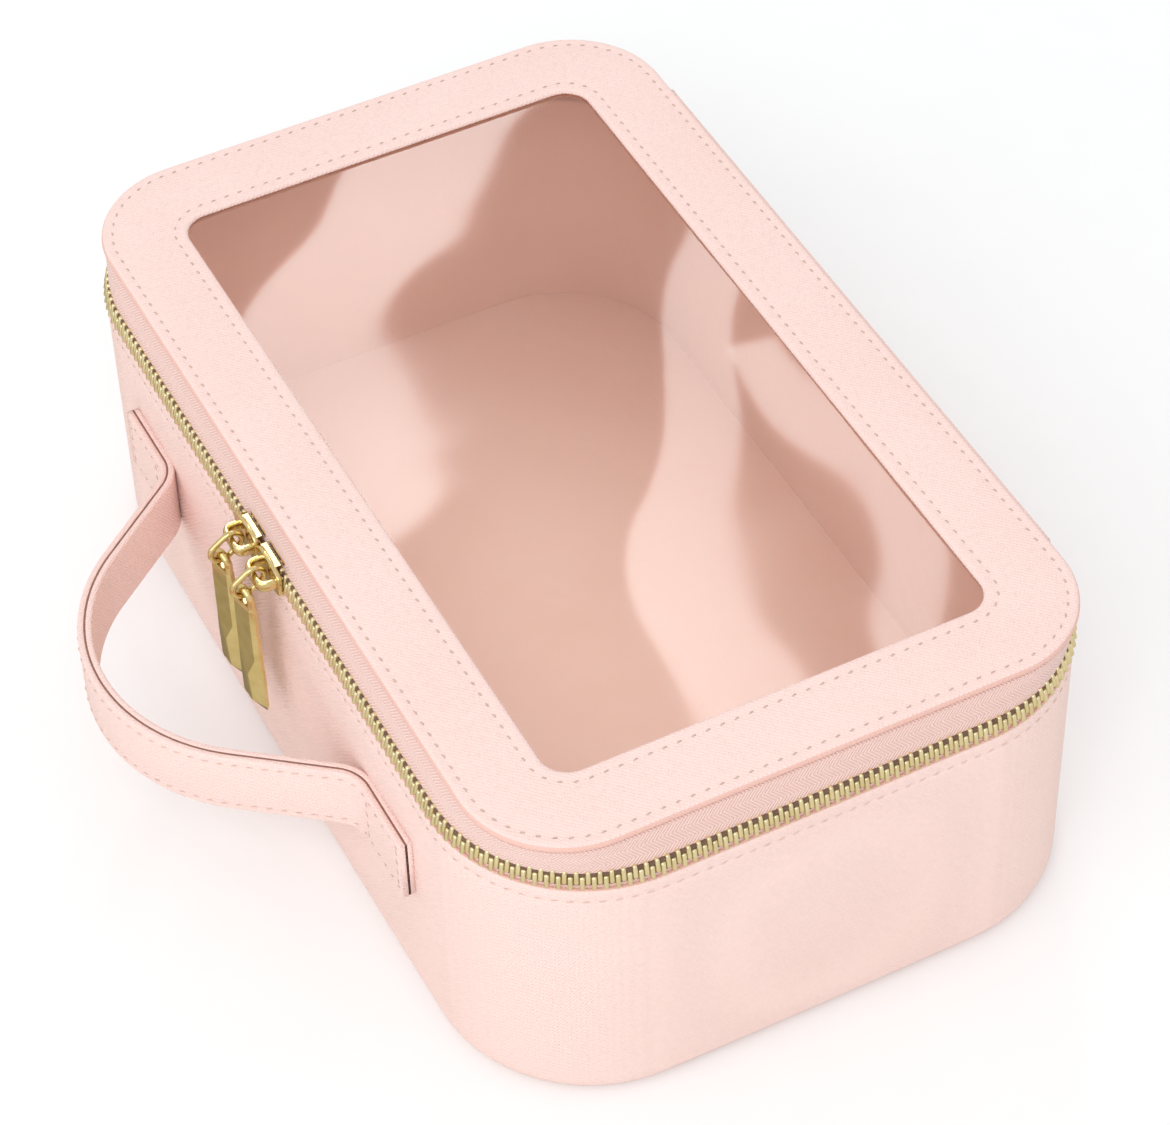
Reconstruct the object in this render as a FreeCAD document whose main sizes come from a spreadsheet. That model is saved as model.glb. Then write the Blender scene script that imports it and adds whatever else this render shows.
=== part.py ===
import FreeCAD, Part
import math
import os
import Sketcher

# A zipped vanity case with a clear window in its lid. Millimetres.
# The origin is the middle of the footprint on the table, +Z is up, +X runs along the long side,
# the handle and the two zip sliders are on the front (-Y) and the leather hinge is on the back (+Y).

SIZES = [
    ("case_length", 250, "lid rim, left to right"),
    ("case_depth", 154, "lid rim, front to back"),
    ("case_height", 90, "table to top of lid"),
    ("corner_radius", 26.0, "lid rim corner, seen from above"),
    ("body_corner", 36.0, "softer corner of body and zip, on the line of the lid rim"),
    ("fit", 0.05, "clearance between pieces that are glued or sewn"),
    ("skin", 1.0, "leather thickness"),
    ("lining", 0.5, "lining cloth thickness"),
    ("rim_height", 0.8, "folded edge of the lid, below the clear sheet"),
    ("rim_wall", 2.0, "width of the folded edge"),
    ("rim_round", 1.2, "upper edge of the rim"),
    ("rim_roll", 0.6, "lower edge of the rim"),
    ("window_margin", 21.0, "leather frame around the window"),
    ("window_radius", 7.0, "window corner"),
    ("pane", 0.6, "clear sheet thickness"),
    ("pane_overlap", 8.0, "clear sheet sewn under the frame"),
    ("lid_board", 0.8, "stiffener under the lid frame"),
    ("board_setback", 1.0, "stiffener and lining stand back from the window edge"),
    ("body_swell", 3.4, "body stands this far outside the lid rim"),
    ("base_round", 6.0, "lower edge of the body, outside"),
    ("turn_in", 10.0, "wall leather turned under the base"),
    ("wall_board", 2.0, "stiffener in the walls"),
    ("base_board", 2.0, "stiffener in the base"),
    ("chain_drop", 12.0, "lid top down to the middle of the zip chain"),
    ("edge_drop", 3.0, "chain middle down to the leather edge"),
    ("board_drop", 6.0, "chain middle down to the top of stiffener and lining"),
    ("tape", 0.7, "zip tape thickness"),
    ("tape_reach", 14.0, "lower zip tape, chain middle to its sewn edge"),
    ("tape_hem", 6.0, "upper zip tape turned in under the rim"),
    ("tape_gap", 0.7, "chain middle to each woven tape edge"),
    ("tooth_pitch", 2.54, "one tooth to the next in a row"),
    ("tooth_width", 1.05, "along the chain"),
    ("tooth_depth", 2.6, "through the tape"),
    ("tooth_root", 2.9, "chain middle back to the end of a tooth"),
    ("tooth_tip", 0.6, "how far a tooth reaches past the chain middle"),
    ("mouth", 9.0, "length of open chain between the two slider posts"),
    ("mouth_height", 4.0, "how far the tapes part between the posts"),
    ("hinge_length", 184.0, "leather hinge strip"),
    ("hinge_skin", 1.2, "hinge leather thickness"),
    ("hinge_top", 1.5, "top of the strip below the top of the lid"),
    ("hinge_foot", 32.0, "foot of the strip below the top of the lid"),
    ("hinge_bend", 1.0, "where the strip leaves rim and wall"),
    ("tuck", 5.0, "zip end tucked behind the strip"),
    ("lining_foot", 26.0, "foot of the hinge lining below the top of the lid"),
    ("strap_width", 18.0, "handle strap"),
    ("strap_skin", 1.8, "one layer of the handle strap"),
    ("handle_height", 48.0, "table to the middle of the strap"),
    ("handle_reach", 80.0, "middle of the handle to the end of a sewn root"),
    ("root_length", 20.0, "flat sewn root"),
    ("root_radius", 12.0, "bend out of the root"),
    ("bow_radius", 44.0, "bend at the middle of the handle"),
    ("bow", 42.0, "hand clearance at the middle"),
    ("slider_length", 12.6, "along the chain"),
    ("slider_width", 9.0, "across the chain"),
    ("slider_plate", 1.2, "plate thickness"),
    ("slider_round", 2.2, "plate corners"),
    ("slider_gap", 0.4, "between the two slider noses"),
    ("channel", 3.1, "between the plates"),
    ("post_length", 3.0, "wedge that parts the chain, along the chain"),
    ("post_width", 2.6, "wedge, across the chain"),
    ("bridge_leg", 1.8, "leg of the bridge, along the chain"),
    ("bridge_bar", 2.4, "bar diameter"),
    ("wire", 1.5, "pull ring wire diameter"),
    ("ring_bend", 2.6, "ring end radius, to the middle of the wire"),
    ("ring_straight", 3.5, "between the two ring ends"),
    ("ring_play", 0.2, "ring to slider plate"),
    ("ring_droop", 35.0, "degrees that the ring leans below level"),
    ("tab_length", 40.0, "pull tab"),
    ("tab_width", 8.0, "pull tab"),
    ("tab_skin", 2.6, "pull tab thickness"),
    ("tab_eye", 2.6, "hole for the ring"),
    ("tab_eye_wall", 1.2, "metal above the hole"),
    ("tab_corner", 2.4, "upper corners of the tab"),
    ("tab_facet", 1.0, "cut across the lower edges of the tab"),
]

doc = FreeCAD.newDocument("vanity_case")
sheet = doc.addObject("Spreadsheet::Sheet", "Sizes")
for row, (alias, number, note) in enumerate(SIZES, start=1):
    sheet.set(f"A{row}", note)
    sheet.set(f"B{row}", str(number))
    sheet.setAlias(f"B{row}", alias)
doc.recompute()

TOLERANCE = 1e-4
sub_parts = []


def size(alias):
    return float(sheet.get(alias))


def signed_terms(text):
    """Split a sum such as 'case_height - chain_drop' or 'case_depth/2' into signed aliases."""
    sign = 1
    for word in text.split():
        if word == "+":
            sign = 1
        elif word == "-":
            sign = -1
        else:
            yield sign, word


def value(text):
    total = 0.0
    for sign, word in signed_terms(text):
        alias, _, divisor = word.partition("/")
        total += sign * size(alias) / float(divisor or 1)
    return total


def formula(text):
    """The same sum as an expression on the sheet."""
    words = [f"{sign} * Sizes.{word}" for sign, word in signed_terms(text)]
    return " + ".join(words) or "0"


def take(text, less):
    """The first sum less the second."""
    words = [text]
    for sign, word in signed_terms(less):
        words.append(f"{'-' if sign > 0 else '+'} {word}")
    return " ".join(words)


# Levels and insets that several pieces share. An inset is measured inwards from the lid rim.
RIM = "skin + pane + rim_height"
PANE_BOTTOM = "case_height - skin - pane"
RIM_BOTTOM = PANE_BOTTOM + " - rim_height"
LID_BOARD_BOTTOM = PANE_BOTTOM + " - lid_board"
CHAIN = "case_height - chain_drop"
WALL_TOP = CHAIN + " - edge_drop"
BOARD_TOP = CHAIN + " - board_drop"
WALL = "- body_swell"
TAPE_FACE = WALL + " + skin"
TAPE_MIDDLE = TAPE_FACE + " + tape/2"
TAPE_BACK = TAPE_FACE + " + tape"
TAPE_HEM = TAPE_FACE + " + tape_hem"
WALL_BOARD_FACE = TAPE_BACK + " + fit"
WALL_LINING_FACE = WALL_BOARD_FACE + " + wall_board"
WINDOW_STEP = "window_margin - board_setback"
BODY_CORNER = "body_corner"
WINDOW_CORNER = "window_margin + window_radius"
PLATE_FACE = "case_depth/2 + body_swell - skin - tape/2 + channel/2"
BRIDGE_AXIS = PLATE_FACE + " + slider_plate + ring_play + ring_bend + wire/2"


def finish(piece, label):
    piece.Label = label
    sub_parts.append(piece)
    return piece


def new_body(label):
    return finish(doc.addObject("PartDesign::Body", label), label)


def origin_plane(body, role):
    return next(feature for feature in body.Origin.OriginFeatures if feature.Role == role)


def level_sketch(body, name, level):
    """A sketch parallel to the table at the given level."""
    sketch = body.newObject("Sketcher::SketchObject", name)
    sketch.AttachmentSupport = [(origin_plane(body, "XY_Plane"), "")]
    sketch.MapMode = "FlatFace"
    sketch.setExpression("AttachmentOffset.Base.z", formula(level))
    return sketch


def dimension(sketch, name, constraint, expression):
    index = sketch.addConstraint(constraint)
    sketch.renameConstraint(index, name)
    sketch.setExpression(f"Constraints.{name}", expression)


def rounded_loop(sketch, inset, corner="corner_radius"):
    """A rounded rectangle inset from the lid rim; its corner is given as it would be on the rim."""
    radius = take(corner, inset)
    half_x = value("case_length/2") - value(inset)
    half_y = value("case_depth/2") - value(inset)
    bend = value(radius)
    x, y = half_x - bend, half_y - bend
    corners = [((x, -y), -90), ((x, y), 0), ((-x, y), 90), ((-x, -y), 180)]
    runs = [((-x, -half_y), (x, -half_y)), ((half_x, -y), (half_x, y)),
            ((x, half_y), (-x, half_y)), ((-half_x, y), (-half_x, -y))]
    up = FreeCAD.Vector(0, 0, 1)
    lines, arcs = [], []
    for (start, end), (centre, turn) in zip(runs, corners):
        run = Part.LineSegment(FreeCAD.Vector(*start, 0), FreeCAD.Vector(*end, 0))
        circle = Part.Circle(FreeCAD.Vector(*centre, 0), up, bend)
        arc = Part.ArcOfCircle(circle, math.radians(turn), math.radians(turn + 90))
        lines.append(sketch.addGeometry(run, False))
        arcs.append(sketch.addGeometry(arc, False))
    for side in range(4):
        sketch.addConstraint(Sketcher.Constraint("Tangent", lines[side], 2, arcs[side], 1))
        sketch.addConstraint(Sketcher.Constraint("Tangent", arcs[side], 2, lines[(side + 1) % 4], 1))
        level = "Horizontal" if side % 2 == 0 else "Vertical"
        sketch.addConstraint(Sketcher.Constraint(level, lines[side]))
    for arc in arcs[1:]:
        sketch.addConstraint(Sketcher.Constraint("Equal", arcs[0], arc))
    sketch.addConstraint(Sketcher.Constraint("Symmetric", arcs[0], 3, arcs[2], 3, -1, 1))
    tag = arcs[0]
    dimension(sketch, f"length_{tag}",
              Sketcher.Constraint("DistanceX", lines[3], 1, lines[1], 1, 2 * half_x),
              f"Sizes.case_length - 2 * ({formula(inset)})")
    dimension(sketch, f"depth_{tag}",
              Sketcher.Constraint("DistanceY", lines[0], 1, lines[2], 1, 2 * half_y),
              f"Sizes.case_depth - 2 * ({formula(inset)})")
    dimension(sketch, f"radius_{tag}", Sketcher.Constraint("Radius", arcs[0], bend), formula(radius))


def pad(body, name, level, height, *loops):
    """Raise one or two nested loops, each an inset or an inset with its own corner radius."""
    sketch = level_sketch(body, name + "_outline", level)
    for loop in loops:
        rounded_loop(sketch, *loop)
    feature = body.newObject("PartDesign::Pad", name)
    feature.Profile = sketch
    feature.setExpression("Length", formula(height))
    doc.recompute()
    return feature


def pocket(body, name, level, depth, loop):
    """Cut a loop downwards from the given level."""
    before = body.Shape.Volume
    sketch = level_sketch(body, name + "_outline", level)
    rounded_loop(sketch, *loop)
    feature = body.newObject("PartDesign::Pocket", name)
    feature.Profile = sketch
    feature.setExpression("Length", formula(depth))
    doc.recompute()
    if body.Shape.Volume >= before:
        raise RuntimeError(f"{name} removed nothing")
    return feature


def round_edges(body, name, base, edge_names, radius):
    feature = body.newObject("PartDesign::Fillet", name)
    feature.Base = (base, edge_names)
    feature.setExpression("Radius", formula(radius))
    doc.recompute()
    return feature


def lies_at(element, height):
    box = element.BoundBox
    return abs(box.ZMin - height) < TOLERANCE and abs(box.ZMax - height) < TOLERANCE


def level_edges(feature, height):
    """Names of the edges that lie flat at one height."""
    edges = enumerate(feature.Shape.Edges, start=1)
    return [f"Edge{number}" for number, edge in edges if lies_at(edge, height)]


def level_faces(feature, height):
    faces = enumerate(feature.Shape.Faces, start=1)
    return [f"Face{number}" for number, face in faces if lies_at(face, height)]


def edges_along_y(feature, keep):
    """Names of the straight edges along Y whose middle passes the test."""
    found = []
    for number, edge in enumerate(feature.Shape.Edges, start=1):
        box = edge.BoundBox
        if box.XLength < TOLERANCE and box.ZLength < TOLERANCE and keep(box.Center):
            found.append(f"Edge{number}")
    return found


def block(body, kind, name, length, width, height, x, y, z):
    """A box feature; its sizes and the place of its lowest corner are expressions."""
    feature = body.newObject(kind, name)
    for prop, expression in (("Length", length), ("Width", width), ("Height", height),
                             ("Placement.Base.x", x), ("Placement.Base.y", y), ("Placement.Base.z", z)):
        feature.setExpression(prop, expression)
    doc.recompute()
    return feature


def plate(label, level, height, *loops):
    body = new_body(label)
    pad(body, label + "_pad", level, height, *loops)
    return body


# Body: leather wall turned under a base panel, stiff board inside, cloth lining on the boards.

def make_wall_skin():
    body = new_body("wall_skin")
    block_pad = pad(body, "wall_block", "", WALL_TOP, (WALL, BODY_CORNER))
    rounded = round_edges(body, "wall_lower_edge", block_pad, level_edges(block_pad, 0), "base_round")
    hollow = body.newObject("PartDesign::Thickness", "wall_inside")
    hollow.Base = (rounded, level_faces(rounded, value(WALL_TOP)))
    hollow.setExpression("Value", "Sizes.skin")
    hollow.Reversed = True
    doc.recompute()
    pocket(body, "wall_base_opening", "skin", "skin", (WALL + " + turn_in", BODY_CORNER))


make_wall_skin()
plate("base_skin", "", "skin", (WALL + " + turn_in + fit", BODY_CORNER))
plate("base_board", "skin", "base_board", (WALL + " + base_round + fit", BODY_CORNER))
plate("floor_lining", "skin + base_board", "lining", (WALL_LINING_FACE, BODY_CORNER))
plate("wall_board", "base_round", BOARD_TOP + " - base_round",
      (WALL_BOARD_FACE, BODY_CORNER), (WALL_BOARD_FACE + " + wall_board", BODY_CORNER))
plate("wall_lining", "skin + base_board + lining", BOARD_TOP + " - skin - base_board - lining",
      (WALL_LINING_FACE, BODY_CORNER), (WALL_LINING_FACE + " + lining", BODY_CORNER))


# Lid: leather frame with a turned-down rim over a board, with the clear sheet held between them.

def make_lid_skin():
    body = new_body("lid_skin")
    block_pad = pad(body, "lid_block", RIM_BOTTOM, RIM, ("",))
    top_edges = level_edges(block_pad, value("case_height"))
    rounded = round_edges(body, "lid_upper_edge", block_pad, top_edges, "rim_round")
    low_edges = level_edges(rounded, value(RIM_BOTTOM))
    round_edges(body, "lid_lower_edge", rounded, low_edges, "rim_roll")
    pocket(body, "lid_inside", "case_height - skin", "pane + rim_height", ("rim_wall",))
    pocket(body, "lid_window", "case_height", RIM, ("window_margin", WINDOW_CORNER))


make_lid_skin()
plate("lid_board_frame", LID_BOARD_BOTTOM, "lid_board",
      ("rim_wall + fit",), (WINDOW_STEP, WINDOW_CORNER))
plate("window_pane", PANE_BOTTOM, "pane",
      ("window_margin - pane_overlap", WINDOW_CORNER))
plate("lid_lining", LID_BOARD_BOTTOM + " - lining", "lining",
      (TAPE_HEM + " + fit", BODY_CORNER), (WINDOW_STEP, WINDOW_CORNER))


# Zip: a woven tape on the lid and one on the body, metal teeth clamped on their edges.
# The body's tape stops behind the ends of the hinge strip and the lid's tape beside them.
# Both part a little between the slider posts.

ZIP_END = "hinge_length/2 - tuck"
MOUTH_SHARE = 2.0


def make_tape(label, level, height, stop, hem=False):
    """A standing tape loop with both gaps cut; the lid's tape has its upper edge turned in."""
    body = plate(label, level, height, (TAPE_FACE, BODY_CORNER), (TAPE_BACK, BODY_CORNER))
    if hem:
        pad(body, label + "_hem", RIM_BOTTOM + " - fit - tape", "tape",
            (TAPE_FACE, BODY_CORNER), (TAPE_HEM, BODY_CORNER))
    half_depth = formula("case_depth/2 + body_swell")
    block(body, "PartDesign::SubtractiveBox", label + "_back_gap",
          f"2 * ({formula(stop)})", half_depth, "Sizes.case_height",
          f"-({formula(stop)})", "0", "0")
    block(body, "PartDesign::SubtractiveBox", label + "_mouth",
          "Sizes.mouth", half_depth, "Sizes.mouth_height",
          f"-Sizes.mouth / {MOUTH_SHARE}", f"-({half_depth})",
          f"{formula(CHAIN)} - Sizes.mouth_height / {MOUTH_SHARE}")


make_tape("body_zip_tape", CHAIN + " - tape_reach", "tape_reach - tape_gap", ZIP_END)
make_tape("lid_zip_tape", CHAIN + " + tape_gap", take("chain_drop - tape_gap - fit", RIM),
          "hinge_length/2 + fit", True)


def make_tooth(up):
    """One tooth astride the tape edge: across the chain Z, through the tape Y, along the chain X."""
    root, tip = size("tooth_root"), size("tooth_tip")
    width, depth = size("tooth_width"), size("tooth_depth")
    slot = size("tape") + 2 * size("fit")
    edge = value("tape_gap - fit")
    metal_foot, groove_foot = (-tip, edge) if up else (-root, -root)
    metal = Part.makeBox(width, depth, root + tip, FreeCAD.Vector(-width / 2, -depth / 2, metal_foot))
    groove = Part.makeBox(width, slot, root - edge, FreeCAD.Vector(-width / 2, -slot / 2, groove_foot))
    return metal.cut(groove)


FRONT_RUN = value("case_length/2 - body_corner")
SIDE_RUN = value("case_depth - body_corner - body_corner")
CHAIN_BEND = size("body_corner") - value(TAPE_MIDDLE)
QUARTER = CHAIN_BEND * math.pi / 2


def chain_place(travel):
    """Place and turn of the chain, measured along it to the right from the middle of the front."""
    x, y = FRONT_RUN, SIDE_RUN / 2
    along = abs(travel)
    if along < FRONT_RUN:
        spot, turn = (along, -y - CHAIN_BEND), 0
    elif along < FRONT_RUN + QUARTER:
        turn = (along - FRONT_RUN) / CHAIN_BEND
        spot = (x + CHAIN_BEND * math.sin(turn), -y - CHAIN_BEND * math.cos(turn))
    elif along < FRONT_RUN + QUARTER + SIDE_RUN:
        turn = math.pi / 2
        spot = (x + CHAIN_BEND, along - FRONT_RUN - QUARTER - y)
    elif along < FRONT_RUN + 2 * QUARTER + SIDE_RUN:
        turn = (along - FRONT_RUN - SIDE_RUN) / CHAIN_BEND
        spot = (x + CHAIN_BEND * math.sin(turn), y - CHAIN_BEND * math.cos(turn))
    else:
        turn = math.pi
        spot = (x - (along - FRONT_RUN - 2 * QUARTER - SIDE_RUN), y + CHAIN_BEND)
    side = 1 if travel >= 0 else -1
    return side * spot[0], spot[1], side * math.degrees(turn)


def make_teeth(label, up, phase, first, last):
    """Both halves of one row, between two distances along the chain from the middle of the front."""
    pitch = size("tooth_pitch")
    tooth = make_tooth(up)
    teeth = []
    for count in range(int(last / pitch) + 1):
        for side in (-1, 1):
            travel = side * (count + phase) * pitch
            if first <= abs(travel) < last:
                x, y, turn = chain_place(travel)
                placed = tooth.copy()
                spin = FreeCAD.Rotation(FreeCAD.Vector(0, 0, 1), turn)
                placed.Placement = FreeCAD.Placement(FreeCAD.Vector(x, y, value(CHAIN)), spin)
                teeth.append(placed)
    row = finish(doc.addObject("Part::Feature", label), label)
    row.Shape = Part.makeCompound(teeth)
    row.Placement = FreeCAD.Placement()


MOUTH_CLEAR = size("mouth") / MOUTH_SHARE + size("tooth_width") / 2
CHAIN_END = 2 * FRONT_RUN + 2 * QUARTER + SIDE_RUN - value("hinge_length/2") - size("tooth_width")
for owner, is_up, shift in (("body", False, 0.25), ("lid", True, 0.75)):
    make_teeth(owner + "_teeth_front", is_up, shift, MOUTH_CLEAR, FRONT_RUN)
    make_teeth(owner + "_teeth_sides", is_up, shift, FRONT_RUN, CHAIN_END)


# Hinge: a leather strip sewn over lid rim and back wall, with a cloth strip inside.

def make_strip(label, length, outline):
    """A strip along X with the given outline, as distances behind the middle and above the table."""
    body = new_body(label)
    sketch = body.newObject("Sketcher::SketchObject", label + "_outline")
    sketch.AttachmentSupport = [(origin_plane(body, "YZ_Plane"), "")]
    sketch.MapMode = "FlatFace"
    spots = [FreeCAD.Vector(value(y), value(z), 0) for y, z in outline]
    count = len(spots)
    for index in range(count):
        sketch.addGeometry(Part.LineSegment(spots[index], spots[(index + 1) % count]), False)
    for index in range(count):
        sketch.addConstraint(Sketcher.Constraint("Coincident", index, 2, (index + 1) % count, 1))
    for index, (y, z) in enumerate(outline):
        dimension(sketch, f"back_{index}",
                  Sketcher.Constraint("DistanceX", -1, 1, index, 1, spots[index].x), formula(y))
        dimension(sketch, f"level_{index}",
                  Sketcher.Constraint("DistanceY", -1, 1, index, 1, spots[index].y), formula(z))
    feature = body.newObject("PartDesign::Pad", label + "_pad")
    feature.Profile = sketch
    feature.Midplane = True
    feature.setExpression("Length", length)
    doc.recompute()


WALL_FACE = "case_depth/2 + body_swell"
STRIP_TOP = "case_height - hinge_top"
STRIP_FOOT = "case_height - hinge_foot"
LEAVES_RIM = RIM_BOTTOM + " - hinge_bend"
LEAVES_WALL = WALL_TOP + " + hinge_bend"
make_strip("hinge_strip", "Sizes.hinge_length", [
    (WALL_FACE, STRIP_FOOT),
    (WALL_FACE + " + hinge_skin", STRIP_FOOT),
    (WALL_FACE + " + hinge_skin", LEAVES_WALL),
    ("case_depth/2 + hinge_skin", LEAVES_RIM),
    ("case_depth/2 + hinge_skin", STRIP_TOP),
    ("case_depth/2", STRIP_TOP),
    ("case_depth/2", LEAVES_RIM),
    (WALL_FACE, LEAVES_WALL),
])
LINING_INSIDE = WALL_LINING_FACE + " + lining"
LINING_FACE = take("case_depth/2", LINING_INSIDE)
make_strip("hinge_lining", f"2 * ({formula(ZIP_END)})", [
    (LINING_FACE + " - lining", "case_height - lining_foot"),
    (LINING_FACE, "case_height - lining_foot"),
    (LINING_FACE, RIM_BOTTOM),
    (LINING_FACE + " - lining", RIM_BOTTOM),
])


# Handle: two leather layers bonded back to back, sewn flat to the front at both roots.

def handle_edges(offset):
    """The bowed line of one strap face, right to left, at a distance from the wall side."""
    root, bow_bend, bow = size("root_radius"), size("bow_radius"), size("bow")
    reach = size("handle_reach")
    start = reach - size("root_length")
    bends = root + bow_bend
    straight = math.sqrt(start ** 2 + (bends - bow) ** 2 - bends ** 2)
    slope = math.atan2(start, bends - bow) - math.atan2(straight, bends)
    wall = value(WALL_FACE)

    def spot(across, out):
        return FreeCAD.Vector(across, -wall - out, 0)

    def root_spot(turn):
        return start - (root - offset) * math.sin(turn), root - (root - offset) * math.cos(turn)

    def bow_spot(turn):
        return (bow_bend + offset) * math.sin(turn), bow - bow_bend + (bow_bend + offset) * math.cos(turn)

    right = [(reach, offset), root_spot(0), root_spot(slope / 2), root_spot(slope), bow_spot(slope)]
    end, bend_start, bend_middle, bend_end, bow_start = [spot(*place) for place in right]
    left_end, left_start, left_middle, left_bend, bow_stop = [spot(-a, o) for a, o in right]
    return [
        Part.LineSegment(end, bend_start).toShape(),
        Part.Arc(bend_start, bend_middle, bend_end).toShape(),
        Part.LineSegment(bend_end, bow_start).toShape(),
        Part.Arc(bow_start, spot(*bow_spot(0)), bow_stop).toShape(),
        Part.LineSegment(bow_stop, left_bend).toShape(),
        Part.Arc(left_bend, left_middle, left_start).toShape(),
        Part.LineSegment(left_start, left_end).toShape(),
    ], (end, left_end)


def make_strap(label, near, far):
    near_edges, near_ends = handle_edges(near)
    far_edges, far_ends = handle_edges(far)
    caps = [Part.LineSegment(a, b).toShape() for a, b in zip(near_ends, far_ends)]
    outline = Part.Wire(Part.sortEdges(near_edges + far_edges + caps)[0])
    strap = finish(doc.addObject("Part::Feature", label), label)
    strap.Shape = Part.Face(outline).extrude(FreeCAD.Vector(0, 0, size("strap_width")))
    strap.Placement = FreeCAD.Placement(FreeCAD.Vector(0, 0, value("handle_height - strap_width/2")),
                                        FreeCAD.Rotation())


make_strap("handle_inner_strap", 0, size("strap_skin"))
make_strap("handle_outer_strap", value("strap_skin + fit"), value("strap_skin + fit + strap_skin"))


# Zip sliders, one for each hand: two plates on a wedge post at the nose, with a bridge for the ring.

def make_slider(label, side):
    body = new_body(label)
    outer = formula(PLATE_FACE)
    chain = formula(CHAIN)

    def along(start, length):
        """Expression of the lower X of something that starts so far behind the nose."""
        near = f"(Sizes.slider_gap / 2 + {start})"
        return near if side > 0 else f"-({near} + {length})"

    def add(name, start, length, width, height, y):
        block(body, "PartDesign::AdditiveBox", f"{label}_{name}", length, width, height,
              along(start, length), y, f"{chain} - {height} / 2")

    add("post", "Sizes.slider_plate", "Sizes.post_length", "Sizes.channel + 2 * Sizes.fit",
        "Sizes.post_width", f"-({outer}) - Sizes.fit")
    add("outer_plate", "0", "Sizes.slider_length", "Sizes.slider_plate", "Sizes.slider_width",
        f"-({outer}) - Sizes.slider_plate")
    add("inner_plate", "0", "Sizes.slider_length", "Sizes.slider_plate", "Sizes.slider_width",
        f"-({outer}) + Sizes.channel")
    corner = value("slider_width/2")
    corners = edges_along_y(body.Tip, lambda c: abs(abs(c.z - value(CHAIN)) - corner) < TOLERANCE)
    round_edges(body, label + "_corners", body.Tip, corners, "slider_round")
    leg = "Sizes.ring_play + Sizes.ring_bend + Sizes.wire / 2 + Sizes.bridge_bar / 2 + Sizes.fit"
    for name, start in (("nose_leg", "Sizes.slider_round / 2"),
                        ("tail_leg", "Sizes.slider_length - Sizes.slider_round / 2 - Sizes.bridge_leg")):
        add(name, start, "Sizes.bridge_leg", leg, "Sizes.bridge_bar",
            f"-({formula(BRIDGE_AXIS)}) - Sizes.bridge_bar / 2")
    bar_length = "(Sizes.slider_length - Sizes.slider_round - Sizes.bridge_leg)"
    bar = body.newObject("PartDesign::AdditiveCylinder", label + "_bar")
    bar.setExpression("Radius", "Sizes.bridge_bar / 2")
    bar.setExpression("Height", bar_length)
    bar.setExpression("Placement.Base.x", along("Sizes.slider_round / 2 + Sizes.bridge_leg / 2", bar_length))
    bar.setExpression("Placement.Base.y", f"-({formula(BRIDGE_AXIS)})")
    bar.setExpression("Placement.Base.z", chain)
    bar.setExpression("Placement.Rotation.Axis.x", "0")
    bar.setExpression("Placement.Rotation.Axis.y", "1")
    bar.setExpression("Placement.Rotation.Axis.z", "0")
    bar.setExpression("Placement.Rotation.Angle", "90")
    doc.recompute()


SLIDER_MIDDLE = "slider_gap/2 + slider_length/2"
DROOP = math.radians(size("ring_droop"))


def ring_far_end():
    """Middle of the ring's outer bend, as distances out from the middle plane and above the table."""
    return (value(BRIDGE_AXIS) + size("ring_straight") * math.cos(DROOP),
            value(CHAIN) - size("ring_straight") * math.sin(DROOP))


def make_ring(label, side):
    """A long ring of round wire in an upright plane, hung on the bridge and leaning out and down."""
    out, high = ring_far_end()
    ends = [(value(BRIDGE_AXIS), value(CHAIN), 0), (out, high, 180)]
    upright = FreeCAD.Rotation(FreeCAD.Vector(0, 1, 0), 90)
    lean = FreeCAD.Rotation(FreeCAD.Vector(1, 0, 0), size("ring_droop"))
    across = side * value(SLIDER_MIDDLE)
    pieces = []
    for number, (back, level, turn) in enumerate(ends):
        bend = doc.addObject("Part::Torus", f"{label}_bend_{number}")
        bend.setExpression("Radius1", "Sizes.ring_bend")
        bend.setExpression("Radius2", "Sizes.wire / 2")
        bend.Angle3 = 180
        half_turn = FreeCAD.Rotation(FreeCAD.Vector(0, 0, 1), turn)
        bend.Placement = FreeCAD.Placement(FreeCAD.Vector(across, -back, level), lean * upright * half_turn)
        pieces.append(bend)
    for number, offset in enumerate((-1, 1)):
        rod = doc.addObject("Part::Cylinder", f"{label}_rod_{number}")
        rod.setExpression("Radius", "Sizes.wire / 2")
        rod.setExpression("Height", "Sizes.ring_straight")
        lift = offset * size("ring_bend")
        start = FreeCAD.Vector(across, -value(BRIDGE_AXIS), value(CHAIN))
        start += lean.multVec(FreeCAD.Vector(0, 0, lift))
        down = FreeCAD.Rotation(FreeCAD.Vector(1, 0, 0), 90)
        rod.Placement = FreeCAD.Placement(start, lean * down)
        pieces.append(rod)
    ring = doc.addObject("Part::MultiFuse", label)
    ring.Shapes = pieces
    doc.recompute()
    finish(ring, label)


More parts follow.
